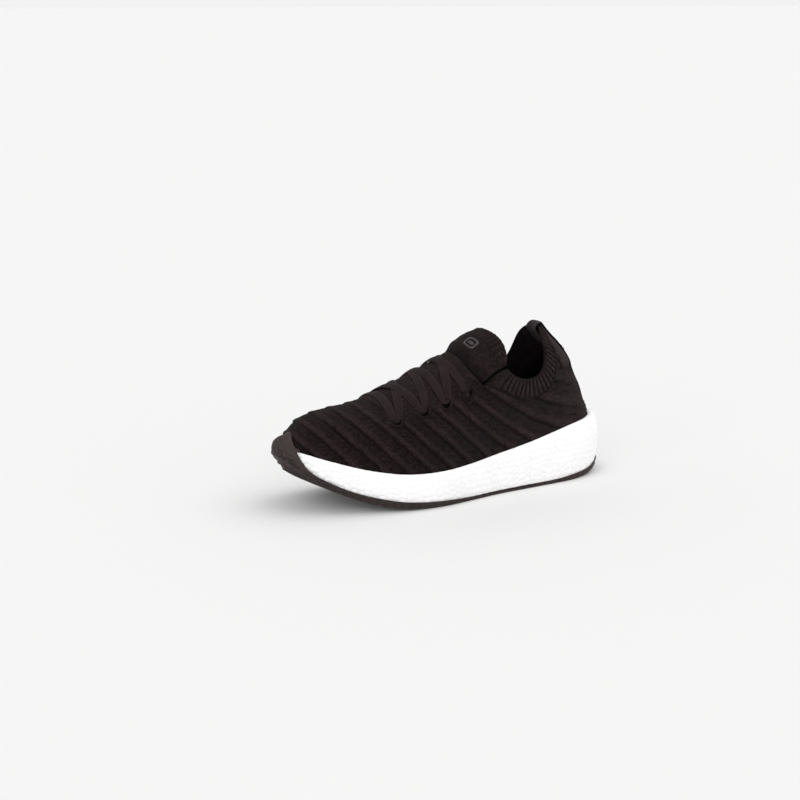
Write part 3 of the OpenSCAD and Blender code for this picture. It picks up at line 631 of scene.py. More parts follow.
BLACK, SOOT = (0.0035, 0.0017, 0.0019), (0.013, 0.0085, 0.009)
MATERIALS = {
    knit_material: (
        ("knit_black", BLACK, (0.033, 0.0205, 0.0215), 1.5, 1.2, 0.28),
        ("rib_knit", BLACK, (0.035, 0.0225, 0.0235), 1.1, 0.9, 0.2),
        ("tongue_cloth", BLACK, (0.03, 0.0195, 0.021), 1.1, 0.9, 0.2),
        ("tab_knit", SOOT, (0.032, 0.022, 0.0235), 0.9, 0.8, 0.1),
        ("lining_cloth", (0.003, 0.0012, 0.0014), (0.009, 0.005, 0.0055), 1.6, 1.6, 0.2),
    ),
    woven_material: (
        ("lace_cloth", (0.006, 0.0034, 0.0037), (0.03, 0.0185, 0.0205), 1.3, 0.22),
        ("webbing", (0.005, 0.003, 0.0033), (0.022, 0.0145, 0.016), 1.6, 0.2, (0.45, 0.6)),
        ("label_cloth", (0.5, 0.48, 0.45), (0.72, 0.7, 0.66), 0.8, 0.08),
    ),
    moulded_material: (
        ("foam_white", (0.95, 0.938, 0.942), (0.985, 0.976, 0.98), 350.0, 0.1, (0.5, 0.7), 0.35),
        ("rubber_sole", (0.028, 0.0185, 0.0175), (0.042, 0.0295, 0.028), 420.0, 0.1, (0.5, 0.66), 0.22),
        ("pad_foam", (0.012, 0.0095, 0.01), (0.022, 0.018, 0.019), 900.0, 0.25, (0.85, 0.95), 0.1),
        ("foam_dark", (0.02, 0.018, 0.024), (0.04, 0.037, 0.045), 900.0, 0.25, (0.85, 0.95), 0.1),
        ("board_cloth", (0.012, 0.011, 0.011), (0.02, 0.018, 0.018), 800.0, 0.2, (0.8, 0.95), 0.15),
        ("stiffener", (0.5, 0.48, 0.44), (0.64, 0.62, 0.58), 500.0, 0.1, (0.45, 0.6), 0.35),
        ("tape_cloth", (0.2, 0.19, 0.18), (0.3, 0.28, 0.27), 700.0, 0.15, (0.7, 0.85), 0.2),
        ("patch_print", (0.028, 0.022, 0.024), (0.04, 0.033, 0.035), 500.0, 0.04, (0.3, 0.45), 0.5),
        ("aglet_plastic", (0.01, 0.008, 0.008), (0.02, 0.016, 0.016), 300.0, 0.03, (0.2, 0.35), 0.5),
    ),
    thread_material: (
        ("thread_dark", (0.003, 0.0016, 0.0018), (0.016, 0.0102, 0.0108)),
        ("thread_light", (0.62, 0.6, 0.56), (0.8, 0.78, 0.74)),
        ("thread_bronze", (0.05, 0.036, 0.026), (0.13, 0.1, 0.075)),
    ),
}
LOOKS = {row[0]: make(*row) for make, rows in MATERIALS.items() for row in rows}

# ---------- Knit upper ----------
# Width on the instep of one degree down from the ridge line
MM_PER_DEGREE = 0.74
# Rows of openwork between two ridges, as shares of the way from one to the next, and the holes' pitch
HOLE_ROWS, HOLE_PITCH = (0.27, 0.42, 0.57, 0.72), 3.3
# Fine lines under the ribbed band: distance from the toe against height
WELT_LINE = ((186, 81), (198, 73.8), (212, 65.6), (234, 61), (263, 55), (280, 52))


def ridge_phase(x, z):
    """Where a point lies between the raised ridges: 0 on a ridge, up to a half on either side."""
    level = curve(RIDGE_BEND, x) + RIDGE_SLANT * (z - 60)
    k = (level - RIDGE_FIRST) / RIDGE_PITCH
    return k - np.round(k), np.round(k)


def knit_detail(p, xi, q, low, edge_gap):
    """Height of the knit's surface and its tone: ridges, openwork between them, and eyelet pits. The tone
    paints highlights on the ridge crests and welt lines, and shade under the ridges, in the holes, between
    the welt lines and in the eyelet pits.
    """
    x, z = p[..., 0] + SOLE_LEN / 2, p[..., 2]
    side = np.where(p[..., 1] < CENTRE_Y, 0.0, 91.0)
    girth = q * MM_PER_DEGREE
    s, k = ridge_phase(x + 0.8 * rough(x + side, z, 3), z + 0.8 * rough(x, z + side, 4))
    clear = ramp(3.4, 7, z - low)
    shown = np.where(xi > 80, ramp(38, 52, q), 1.0) * clear * ramp(0, 3, edge_gap)
    shown = shown * (1 - 0.85 * ramp(232, 264, x))
    band = ramp(-0.2, -0.1, s) * fade(0.0, 0.2, s)
    cable = 0.5 + 0.5 * np.sin(girth * 2.4 + s * 5.0)
    crown = np.where(xi < 90, mix(0.4, 1, ramp(22, 48, q)), 1.0)
    height = 1.15 * crown * shown * band * (0.92 + 0.08 * cable)
    under = ramp(-0.34, -0.22, s) * fade(-0.22, -0.12, s)
    # Painted highlight on the ridge crests and painted shadow on the steep side under each ridge.
    tone = 1 + shown * (0.5 * ramp(-0.16, -0.06, s) * fade(0.03, 0.17, s) - 0.62 * under)
    height = height - 0.5 * shown * under
    panel = np.clip(1 - band * 1.6, 0, 1)
    dots = 0
    for row, offset in enumerate(HOLE_ROWS):
        ds = (np.mod(s, 1.0) - offset) * RIDGE_PITCH * 0.72
        step = girth / HOLE_PITCH + 0.5 * (row % 2) + 0.37 * k + 0.12 * rough(x, z + side, 7 + row)
        dt = (step - np.round(step)) * HOLE_PITCH
        size = 0.75 + 0.25 * np.sin(np.round(step) * 12.9 + k * 7.3 + row * 3.1 + side)
        dots = dots + size * np.exp(-(ds**2 * 1.15 + dt**2 * 0.75))
    openwork = np.clip(dots, 0, 1.2) * panel * ramp(0.4, 3.0, z - low) * ramp(0, 2, edge_gap)
    openwork = openwork * np.where(xi > 80, mix(0.35, 1, ramp(30, 52, q)), 1.0)
    height = height - 0.6 * openwork
    # Painted shade in the openwork holes; the panels between the ridges are a little lighter.
    tone = tone * (1 + 0.12 * panel - 0.8 * np.clip(openwork, 0, 1))
    speck = np.sin(girth * 3.9 + 0.9 * rough(x, z, 21)) * np.sin(x * 2.9 + z * 1.3 + rough(x, z + side, 22))
    height = height + (0.09 * speck + 0.22 * rough(x, z + side, 11, (38.0, 17.0))) * clear
    quarter = ramp(236, 262, x) * ramp(2, 6, z - low)
    ticks = np.sin(girth * 0.9 + x * 1.9 + rough(x, z, 23))
    ticks = ticks * np.sin(z * 0.75 + rough(x, z, 24) + 1.5 * np.sin(x * 0.35))
    height = height + 0.3 * quarter * clear * ticks
    tone = tone * (1 + 0.12 * speck) * (1 + 0.25 * quarter * ticks) * (1 + 0.32 * ramp(150, 260, x))
    welt = z - curve(WELT_LINE, x)
    line = bell(welt, 0.8) + bell(welt + 2.6, 0.8)
    on = ramp(186, 192, x) * fade(266, 276, x)
    height = height + 0.4 * line * on
    # Painted highlight on the two raised welt lines and painted shade in the groove between them.
    tone = tone * (1 + 0.25 * line * on - 0.3 * bell(welt + 1.3, 0.7) * on)
    pit = 0
    for eyelet, down in zip(EYELETS, EYELET_ANGLES):
        reach = np.hypot((xi - eyelet) / 4.6, (q - down - 1.5) * MM_PER_DEGREE / 2.6)
        pit = np.maximum(pit, 1 - ramp(0.55, 1.15, reach))
        rim = bell(reach - 1.3, 0.22)
        height = height + 0.5 * rim * (1 - pit)
    # Painted shade in the eyelet pits.
    return height * (1 - pit) - 2.1 * pit, np.clip(tone * (1 - 0.85 * pit), 0.04, 1.7)


def spaced(values, weights, count):
    """Places along values so that each step carries the same weight."""
    total = np.insert(np.cumsum(weights), 0, 0)
    return np.interp(np.linspace(0, total[-1], count), total, values)


def even_angles(count, ring):
    """Angles at even distances around the shoe, on a ring given as a function of the angle."""
    a = np.linspace(0, 360, 1441)
    return spaced(a, steps(ring(a)), count + 1)[:-1]


def knit_at(a, v):
    xi, q = knit_place(a, v)
    return instep_at(xi, -side_of(a) * np.maximum(q, 1e-4)), xi, q


def make_knit():
    angles = even_angles(800, lambda a: upper_ring(a, 0.3))
    fine = np.linspace(0, 1, 401)
    rise = steps(knit_at(angles[None, ::20], fine[:, None])[0])
    v = spaced(fine, rise.mean(1) * 0.5 + rise.max(1) * 0.5, 112)[:, None]
    base, xi, q = knit_at(angles[None, :], v)
    n = normals(base, True)
    to_edge = np.linalg.norm(base - base[-1:], axis=-1)
    height, tone = knit_detail(base, xi, q, feather(xi), to_edge)
    soft = ramp(0, 2.2, to_edge)
    behind_foam = fade(1.2, 3.2, base[..., 2] - feather(xi))
    outer = base + n * (height * soft - 0.9 * (1 - soft) - 0.9 * behind_foam)[..., None]
    pick = np.linspace(0, len(v) - 1, 7).astype(int)
    thick = KNIT_T + np.array([1.8, 0, 0, 0, 0, 0, -0.7])
    inner = base[pick] - n[pick] * thick[:, None, None]
    edges = {"bottom": 0.2, "top": 0.5, "steps": 2}
    add_layer("knit_upper_cloth", "knit_upper", "knit_black", outer, inner, ring_faces, tone, 0.5, **edges)


make_knit()


# ---------- Ribbed band round the foot opening ----------
def rib_wave(turns):
    """Rounded ribs with narrow dark grooves between them, 0 to 1."""
    return np.abs(np.cos(np.pi * turns)) ** 0.55


def make_collar():
    fine = np.linspace(CORNER_ANGLE, 360 - CORNER_ANGLE, 721)
    angles = spaced(fine, steps(cuff_at(fine, 0.7)), 900)
    v = np.concatenate([np.linspace(-0.035, 0.06, 5), np.linspace(0.1, 1, 34)])[:, None]
    g = cuff_at(angles[None, :], v)
    run = travelled(cuff_at(angles, 0.6))
    from_front = np.minimum(run, run[-1] - run)[None, :]
    pitch = run[-1] / 2 / RIB_COUNT
    ribbed = ramp(1.6 * pitch, 2.1 * pitch, from_front)
    rib = rib_wave(from_front / pitch)
    shape = ramp(-0.03, 0.1, v) * fade(0.86, 0.97, v)
    height = 0.2 + ribbed * (rib - 0.6) * 1.3 * shape
    fold_in = 0.5 * ramp(0.88, 1, v) + 0.9 * fade(-0.035, 0.05, v)
    # Painted highlight on the ribs and painted shade in the grooves between them, and painted shade where the
    # band turns in at the top.
    tone = mix(1.0, 0.06 + 1.35 * rib**1.4, ribbed * shape) * mix(1, 0.8, ramp(0.85, 0.95, v))
    outer = g + normals(g) * (height - fold_in)[..., None]
    inner_rows = np.linspace(0, 1, 9)[:, None]
    g = cuff_at(angles[None, :], inner_rows)
    inner = g - normals(g) * (2.35 - 0.5 * ramp(0.85, 1, inner_rows))[..., None]
    edges = {"top": 1.0, "bottom": 0.2, "steps": 5}
    add_layer("rib_collar_cloth", "rib_collar", "rib_knit", outer, inner, shade=tone, rest=0.45, **edges)


make_collar()


def braid(path, out, radius, pitch, sides=8):
    """Thread laid in short stitches along a path: it swells and dips at each stitch, with a painted highlight
    on each swell and painted shade in each dip.
    """
    run = travelled(path)
    across = unit(np.cross(unit(np.gradient(path, axis=0)), out))
    swell = np.abs(np.sin(np.pi * run / pitch)) ** 0.5
    size = (radius * (0.55 + 0.45 * swell))[:, None]
    turns = turn(sides)[::-1]
    rows = np.stack([path + size * math.cos(q) * across + size * math.sin(q) * out for q in turns])
    uv = np.broadcast_arrays(run, np.linspace(0, 6.28 * radius, sides)[:, None])
    return rows, np.broadcast_to(0.45 + 0.6 * swell, rows.shape[:2]), np.stack(uv, -1)


def add_threads(name, node, look, runs, slot=None):
    """Several threads as one piece."""
    points, faces = joined([(run[0], loop_faces) for run in runs])
    tones = np.concatenate([run[1].ravel() for run in runs])
    uvs = np.concatenate([run[2].reshape(-1, 2) for run in runs])
    return add_mesh(name, node, look, points, faces, uvs, tones, slot=slot)


def seam_run(sign):
    a = np.linspace(CORNER_ANGLE + 1.5, TAB_ANGLE + 2, 420)
    a = a if sign < 0 else 360 - a[::-1]
    path = cuff_at(a, -0.012)
    out = unit(np.cross(np.gradient(path, axis=0), cuff_at(a, 0.08) - path))
    return braid(path + 0.35 * out, out, 0.55, 2.4)


add_threads("collar_seam_thread", "collar_seam", "thread_dark", [seam_run(-1), seam_run(1)])


# ---------- Tongue ----------
def tongue_bulge(w, v):
    return TONGUE_BULGE * np.maximum(1 - w * w, 0) ** 0.7 * ramp(0, 0.25, v) * fade(0.45, 0.95, v)


TONGUE_TURN = math.pi / 2 * 0.93
TONGUE_W = np.sin(np.linspace(-1, 1, 221) * TONGUE_TURN) / math.sin(TONGUE_TURN)
TONGUE_V = np.concatenate([np.linspace(-0.03, 0.03, 5), np.linspace(0.05, 1, 96)])[:, None]
TONGUE_BASE = tongue_at(TONGUE_W[None, :], TONGUE_V)
TONGUE_N = normals(TONGUE_BASE)


def on_tongue(offset):
    return TONGUE_BASE + TONGUE_N * offset[..., None]


def make_tongue():
    w, v = TONGUE_W[None, :], TONGUE_V
    top = 0.4 + tongue_bulge(w, v)
    girth = TONGUE_BASE[..., 1] - CENTRE_Y
    run = TONGUE_BASE[..., 0]
    tucked = fade(-0.03, 0.045, v)
    side = ramp(0.94, 1, np.abs(w))
    rear = ramp(0.6, 0.63, v)
    rib = rib_wave(girth / 3.0 + 0.12 * np.sin(run * 1.6))
    bead = bell(v - 0.61, 0.012)
    grain = np.sin(girth * 3.4 + 0.5 * rough(girth, run, 42))
    grain = grain * np.sin(run * 3.1 + 0.5 * rough(girth, run, 43))
    height = top - 1.1 * tucked - 1.3 * ramp(0.93, 1, v) + 0.25 * rough(girth, run, 41)
    height = height + 0.07 * grain * (1 - rear) + 0.6 * rear * (rib - 0.6) - 0.3 * bead
    # Painted highlight on the rear ribs and painted shade in their grooves, a painted shadow at the tongue's
    # base under the laces, and painted shade where it tucks under the knit.
    tone = (1 + 0.13 * grain) * (1 - 0.35 * bead) * mix(1, 0.3 + 0.95 * rib, rear)
    tone = tone * (1 - 0.45 * bell(v, 0.16)) * (1 - 0.5 * tucked)
    outer = on_tongue(height - 0.5 * side)
    inner = on_tongue(top - 1.5 - 1.1 * tucked + 0.2 * side)[::10]
    edges = {"body": None, "top": 1.2, "bottom": 0.3}
    cloth = add_layer("tongue_knit_cloth", "tongue_knit", "tongue_cloth", outer, inner, shade=tone, **edges)
    foam_top = on_tongue(top - 1.65 - 0.8 * fade(0.02, 0.1, v) - 0.4 * ramp(0.9, 1, v) - 0.6 * side)
    foam_low = on_tongue(-2.05 + 0.2 * side + 0 * v)
    foam = foam_top[::5, ::4], foam_low[::5, ::4]
    foam = add_layer("tongue_foam_pad", "tongue_foam", "pad_foam", *foam, body=None)
    cloth_top = on_tongue(-2.2 + 0 * w * v)
    cloth_low = on_tongue(-2.95 + 0.12 * np.sin(girth * 2.0) * np.sin(run * 1.9))
    layers = cloth_top[1::3, ::2], cloth_low[1::3, ::2]
    lining = add_layer("tongue_lining_cloth", "tongue_lining", "lining_cloth", *layers, rest=1.0, body=None)
    for piece in (cloth, foam, lining):
        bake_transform(piece)


make_tongue()


def tongue_disc(centre, size, low, high, ring=0.02, inside=False):
    """Rows of a thin badge on the tongue with rounded corners; ring leaves it open in the middle."""
    q = turn(120)
    reach = np.linspace(ring, 1, 10)[:, None]
    w = centre[0] + size[0] * reach * bent(np.cos(q), 0.5)
    v = centre[1] + size[1] * reach * bent(np.sin(q), 0.5)
    g = tongue_at(w, v)
    across = tongue_at(w + 0.01, v) - tongue_at(w - 0.01, v)
    n = unit(np.cross(across, tongue_at(w, v + 0.01) - tongue_at(w, v - 0.01)))
    lift = 0 * w if inside else 0.4 + tongue_bulge(w, v)
    outer = g + n * (lift + high + 0.12 * (1 - reach**6))[..., None]
    inner = g + n * (lift + low)[..., None]
    order = 1 if inside else -1
    return shell(outer[::order], inner[::order], top=0.2, bottom=0.3, steps=2)


def add_badge():
    border = tongue_disc((0.3, 0.42), (0.14, 0.13), -0.1, 0.25, ring=0.74)
    bar = tongue_disc((0.3, 0.42), (0.07, 0.035), -0.1, 0.2)
    badge = joined([(border, ring_faces), (bar, ring_faces)])
    add_mesh("tongue_badge", "tongue_patch", "patch_print", *badge, body="tongue")
    label = tongue_disc((0.0, 0.66), (0.24, 0.13), -3.3, -2.9, inside=True)
    add_mesh("size_label_blank", "size_label", "label_cloth", label, ring_faces(label), body="tongue")


add_badge()

# ---------- Laces ----------
STOPS = ((3, 1), (2, -1), (1, 1), (0, -1), (0, 1), (1, -1), (2, 1), (3, -1))


def lace_over(i):
    """1 where a stretch of the lace crosses over the one below it."""
    side = STOPS[i][1]
    return float((i < 3 and side > 0) or (i > 3 and side < 0))


def lace_points():
    """Knots of the lace: distance from the toe, degrees down from the ridge line, height and width."""
    knots = []
    for i, (pair, side) in enumerate(STOPS):
        xi, reach = EYELETS[pair], EYELET_ANGLES[pair] * side
        knots.append((xi, reach + 2.5 * side, -1.3, 4.4))
        if i == len(STOPS) - 1:
            break
        next_xi, next_side = EYELETS[STOPS[i + 1][0]], STOPS[i + 1][1]
        ahead = 1 if i < 3 else (-1 if i > 3 else 0)
        start = xi - 2.2 * (1 if i < 4 else -1)
        end = next_xi + 2.2 * (1 if i + 1 < 4 else -1)
        for u in np.linspace(0.03, 0.97, 33):
            q = mix(reach - 1.5 * side, (EYELET_ANGLES[STOPS[i + 1][0]] - 1.5) * next_side, u)
            lift = 0.6 + lace_over(i) * (LACE_T - 0.1) * np.sin(math.pi * u) ** 6
            dive = fade(0.0, 0.1, min(u, 1 - u))
            bow = -1.6 * ahead * math.sin(math.pi * u)
            wide = mix(5.2, LACE_W, ramp(0.0, 0.17, min(u, 1 - u)))
            knots.append((mix(start, end, u) + bow, q, mix(lift, -0.3, dive), wide))
    return np.array(knots)


def smooth_path(knots, count):
    """Even points along a smooth curve through the knots."""
    for _ in range(2):
        knots[1:-1] = knots[1:-1] * 0.5 + (knots[:-2] + knots[2:]) * 0.25
    t = travelled(over_instep(knots[:, 0], knots[:, 1], knots[:, 2]))
    at = np.linspace(0, t[-1], count)
    return np.stack([curve(np.stack([t, column], -1), at) for column in knots.T], -1), at


def make_laces():
    knots, run = smooth_path(lace_points(), 1500)
    path = over_instep(knots[:, 0], knots[:, 1], knots[:, 2])
    axis = unit(np.gradient(path, axis=0))
    flat = unit(np.cross(instep_out(knots[:, 0], knots[:, 1]), axis))
    upright = np.cross(axis, flat)
    tilt = (0.14 * np.sin(run / 17.0 + 1.0) + 0.08 * np.sin(run / 7.3))[:, None]
    across = flat * np.cos(tilt) + upright * np.sin(tilt)
    up = upright * np.cos(tilt) - flat * np.sin(tilt)
    half = knots[:, 3] / 2
    rows, tones, uvs = [], [], []
    for q in turn(34)[::-1]:
        s = math.sin(q)
        x, z = bent(math.cos(q), 0.75), bent(s, 0.8)
        cord_edge = bell(abs(x) - 0.86, 0.1)
        weave = 0.05 * np.sin(run * 2.6 + abs(x) * 9.0)
        thick = LACE_T / 2 * (1 + 0.22 * cord_edge) + (0.05 * math.cos(x * 13.0) + weave) * abs(s)
        bow = 0.45 * (1 - x * x) - 0.2
        rows.append(path + (x * half)[:, None] * across + (z * thick + bow)[:, None] * up)
        # Painted highlight on the rolled cord edges and painted shade on the lace's underside.
        tones.append(np.clip(0.85 + 0.45 * cord_edge + 0.8 * weave - (0.6 if s < -0.2 else 0.0), 0.2, 1.5))
        uvs.append(np.stack([run, np.full(run.shape, x * LACE_W / 2)], -1))
    rows = np.stack(rows)
    add_mesh("lace_ribbon", "laces", "lace_cloth", rows, loop_faces(rows), np.stack(uvs), np.stack(tones))


make_laces()


def make_loops():
    """Knitted arches that hold the lace at the mouth of each eyelet."""
    runs = []
    s = np.linspace(-1, 1, 60)
    lift = 0.35 + 0.35 * (1 - s * s) - 0.9 * np.abs(s) ** 8
    for xi, down in zip(EYELETS, EYELET_ANGLES):
        for side in (-1, 1):
            for stretch, start, radius in ((1, 3.9, 0.75), (1.06, 5.6, 0.6)):
                x, q = xi + 5.6 * s * stretch, (down + start - 5.4 * s * s) * side
                runs.append(braid(over_instep(x, q, lift), instep_out(x, q), radius, 1.5))
    add_threads("eyelet_rims", "lace_loops", "rib_knit", runs, "knit_black")


make_loops()


# ---------- Heel ----------
def make_tab():
    a = np.linspace(137, 223, 150)[None, :]
    b = fold(a)
    fine = np.linspace(0.4, 1, 61)
    heights = knit_at(a, fine[:, None])[0][..., 2]
    seam = 95.5 + 2.0 * ramp(165, 180, b[0])
    low = np.array([[np.interp(z, column, fine) for z, column in zip(seam, heights.T)]])
    lower = knit_at(a, mix(low, 1.0, np.linspace(0, 0.98, 50)[:, None]))[0]
    upper = cuff_at(a, (0.05 + 0.85 * ramp(146, 170, b)) * np.linspace(0, 1, 16)[:, None])
    g = np.concatenate([lower, upper])
    n = normals(g)
    up, side = travelled(g), travelled(g, 1)
    gap = np.minimum(np.minimum(up, up[-1:] - up + 0.4), np.minimum(side, side[:, -1:] - side))
    row = bell(gap - 1.9, 0.4)
    stitch = row * (0.5 + 0.5 * np.sign(np.sin((up + side) * 2.6) + 0.2))
    height = 0.55 + 0.75 * ramp(0, 1.3, gap) - 0.2 * row + 0.22 * stitch + 0.1 * rough(side, up, 51)
    # Painted shade in the stitch row's groove and along the tab's lower edge, painted highlight on the raised
    # stitches.
    tone = 1.1 - 0.3 * row + 0.3 * stitch - 0.7 * fade(0, 0.8, up)
    layers = g + n * height[..., None], (g + n * 0.1)[::6]
    edges = {"top": 0.3, "bottom": 0.4, "steps": 3}
    add_layer("heel_tab_cloth", "heel_tab", "tab_knit", *layers, shade=tone, rest=0.3, **edges)


make_tab()


def strap_frame():
    """Line of the strap's inner face as (x, z): up the heel, over the collar's peak and down inside."""

    def back(shares, off):
        middle = upper_ring(np.full(shares.shape, 180.0), shares)
        t = unit(np.gradient(middle, axis=0))
        return np.stack([middle[:, 0] + off * t[:, 2], middle[:, 2] - off * t[:, 0]], -1)

    shares = np.linspace(0.045, 1, 90)
    outer = back(shares, mix(0.5, 1.75, ramp(0.52, 0.6, shares)))
    inner = back(np.linspace(0.86, 1, 24), -STRAP_INSIDE)[::-1]
    middle, half = (outer[-1] + inner[0]) / 2, (outer[-1] - inner[0]) / 2
    turns = np.linspace(8, 172, 30)[:, None]
    cap = middle + half * cos_deg(turns) + STRAP_RISE * sin_deg(turns) * unit(outer[-1] - outer[-4])
    line = np.concatenate([outer, cap, inner])
    run = travelled(line)
    at = np.linspace(0, run[-1], 420)
    xz = np.stack([np.interp(at, run, column) for column in line.T], -1)
    kernel = np.hanning(9) / np.hanning(9).sum()
    padded = np.pad(xz, ((4, 4), (0, 0)), mode="reflect", reflect_type="odd")
    return np.stack([np.convolve(column, kernel, "valid") for column in padded.T], -1), at


def heel_round(heights, y):
    """How far forward the heel's surface lies at a width y from its middle line, at each height."""
    g = upper_ring(np.linspace(150, 180, 61)[None, :], np.linspace(0.0, 1.0, 41)[:, None])
    rows = g[[int(np.argmin(np.abs(g[:, -1, 2] - z))) for z in heights]]
    return np.array([row[-1, 0] - np.interp(y, CENTRE_Y - row[::-1, 1], row[::-1, 0]) for row in rows])


def make_strap():
    xz, run = strap_frame()
    tangent = unit(np.gradient(xz, axis=0))
    normal = np.stack([tangent[:, 1], -tangent[:, 0]], -1)
    rows, tones, uvs, back = [], [], [], {}
    for q in turn(36):
        x, z = bent(math.cos(q), 0.5), bent(math.sin(q), 0.7)
        key = round(abs(x), 4)
        if key not in back:
            back[key] = heel_round(xz[:, 1], key * STRAP_W / 2)
        edge = bell(abs(x) - 0.88, 0.07)
        p = xz + normal * (STRAP_T / 2 * (1 + z * (1 + 0.15 * edge)))
        rows.append(place(p[:, 0] - back[key] + SOLE_LEN / 2, x * STRAP_W / 2, p[:, 1]))
        # Painted highlight on the strap's rolled edges and painted shade on its face against the heel.
        tones.append(np.full(len(xz), 1.0 + 0.3 * edge - (0.4 if z < 0 else 0)))
        uvs.append(np.stack([run, np.full(run.shape, x * STRAP_W / 2)], -1))
    rows = np.stack(rows)
    cloth = np.stack(uvs), np.stack(tones)
    add_mesh("heel_strap_webbing", "heel_strap", "webbing", rows, loop_faces(rows), *cloth)
    runs = []
    s = np.linspace(-0.84, 0.84, 90)
    zig = 0.8 * np.sin(s * 38.0)
    for at in (5.0, 8.0, run[-1] * 0.52, run[-1] * 0.52 + 3.0):
        k = int(np.searchsorted(run, at))
        base = xz[k] + normal[k] * (STRAP_T + 0.25) + tangent[k] * zig[:, None]
        fall = np.interp(np.abs(s), sorted(back), [back[key][k] for key in sorted(back)])
        path = np.stack([base[:, 0] - fall, s * STRAP_W / 2 + CENTRE_Y, base[:, 1]], -1)
        out = np.broadcast_to(np.array([normal[k][0], 0, normal[k][1]]), path.shape)
        runs.append(braid(path, out, 0.32, 1.4, sides=6))
    add_threads("strap_bar_tacks", "strap_stitching", "thread_bronze", runs, "thread_dark")


make_strap()


# ---------- Sole ----------
def ring_run(ring):
    """Distance round a closed ring at each of its points, and the ring's whole length."""
    around = np.linalg.norm(np.roll(ring, -1, 0) - ring, axis=-1)
    return np.insert(np.cumsum(around)[:-1], 0, 0)[None, :], around.sum()


def make_midsole():
    a = even_angles(880, sole_plan)[None, :]
    s = np.concatenate([np.linspace(0, 0.9, 58), np.linspace(0.915, 1, 10)])[:, None]
    z = mix(foam_bottom(a), curve(SOLE_RIM, along(a)), s)
    wall = sole_at(a, foam_inset(a, z), z)
    run, total = ring_run(wall[30])
    count = int(round(total / BEAD_W))
    u = run / total * count + 0 * z
    v = (z + 0.5 * foam_inset(a, z)) / BEAD_H
    _, gap, tone = cells(u + 0.1 * rough(run, z, 61), v + 0.1 * rough(z, run, 62), 5, count)
    pebble = np.clip(gap * 1.5, 0, 1) ** 0.5
    height = (pebble - 0.75) * mix(0.5, 0.95, tone) * mix(0.35, 1, ramp(0, 0.08, s))
    height = height * (1 - 0.55 * ramp(0.93, 1, s))
    outer = wall + normals(wall, True) * height[..., None]
    lip = np.stack([upper_foot(a[0], h) for h in (4.3, 3.6, 2.2, 0.5)])
    lip = lip + 0.1 * normals(np.stack([lip[-1], lip[0]]), True)[0]
    rim = mix(outer[-1], lip[0], np.array([0.22, 0.45, 0.7, 0.9])[:, None, None])
    for row, u in zip(rim, (0.22, 0.45, 0.7, 0.9)):
        row[:, 2] += 0.55 * math.sin(math.pi * min(u * 1.1, 1)) + 0.35 * (pebble[-1] - 0.7) * (1 - u)
    rows = np.concatenate([outer, rim, lip])
    # Painted shade in the creases between the pebbles, on the wall and along the rim; the cells' random tone
    # is the foam's own.
    tones = np.broadcast_to(mix(0.92, 1, pebble[-1]), rows.shape[:2]).copy()
    tones[: len(outer)] = mix(0.95, 0.985, np.clip(pebble * 1.3, 0, 1)) * mix(0.98, 1.0, tone)
    add_mesh("midsole_foam", "midsole", "foam_white", rows, stack_faces(rows), shade=tones)


make_midsole()


TOE_TUCK = 3.4


def rubber_t(a):
    return mix(0.8, BUMPER_T - BOND, toe_share(a))


def lip_start(a):
    t = along(a)
    return np.minimum(curve(SOLE_RIM, t) + 0.4, curve(RUBBER_TOP, t) - 0.6)


def over_rim(a, z):
    """How far up the rubber above the foam a height lies: 0 at the foam's rim, 1 at the rubber's edge."""
    rim, top = curve(SOLE_RIM, along(a)), curve(RUBBER_TOP, along(a))
    return (z - rim) / np.maximum(top - rim, 0.8) * fade(0.08, 0.14, along(a))


def on_knit(a, z, out):
    p, n = upper_foot(a, z - feather(foot_xi(a))), sole_out(a)
    return np.stack([p[..., 0] + n[..., 0] * out, p[..., 1] + n[..., 1] * out, z + 0 * p[..., 0]], -1)


def rubber_face(a, z, out):
    rise = over_rim(a, z)
    tuck = TOE_TUCK * toe_share(a) * np.maximum(1 - (z - tread_z(along(a))) / 8, 0) ** 2
    wall = sole_at(a, foam_inset(a, z) - RUBBER_GAP - out + tuck, z)
    above = on_knit(a, z, 0.3 + out * (1 - 0.7 * ramp(0.7, 1, rise)))
    return mix(wall, above, ramp(0.5, 1, rise)[..., None])


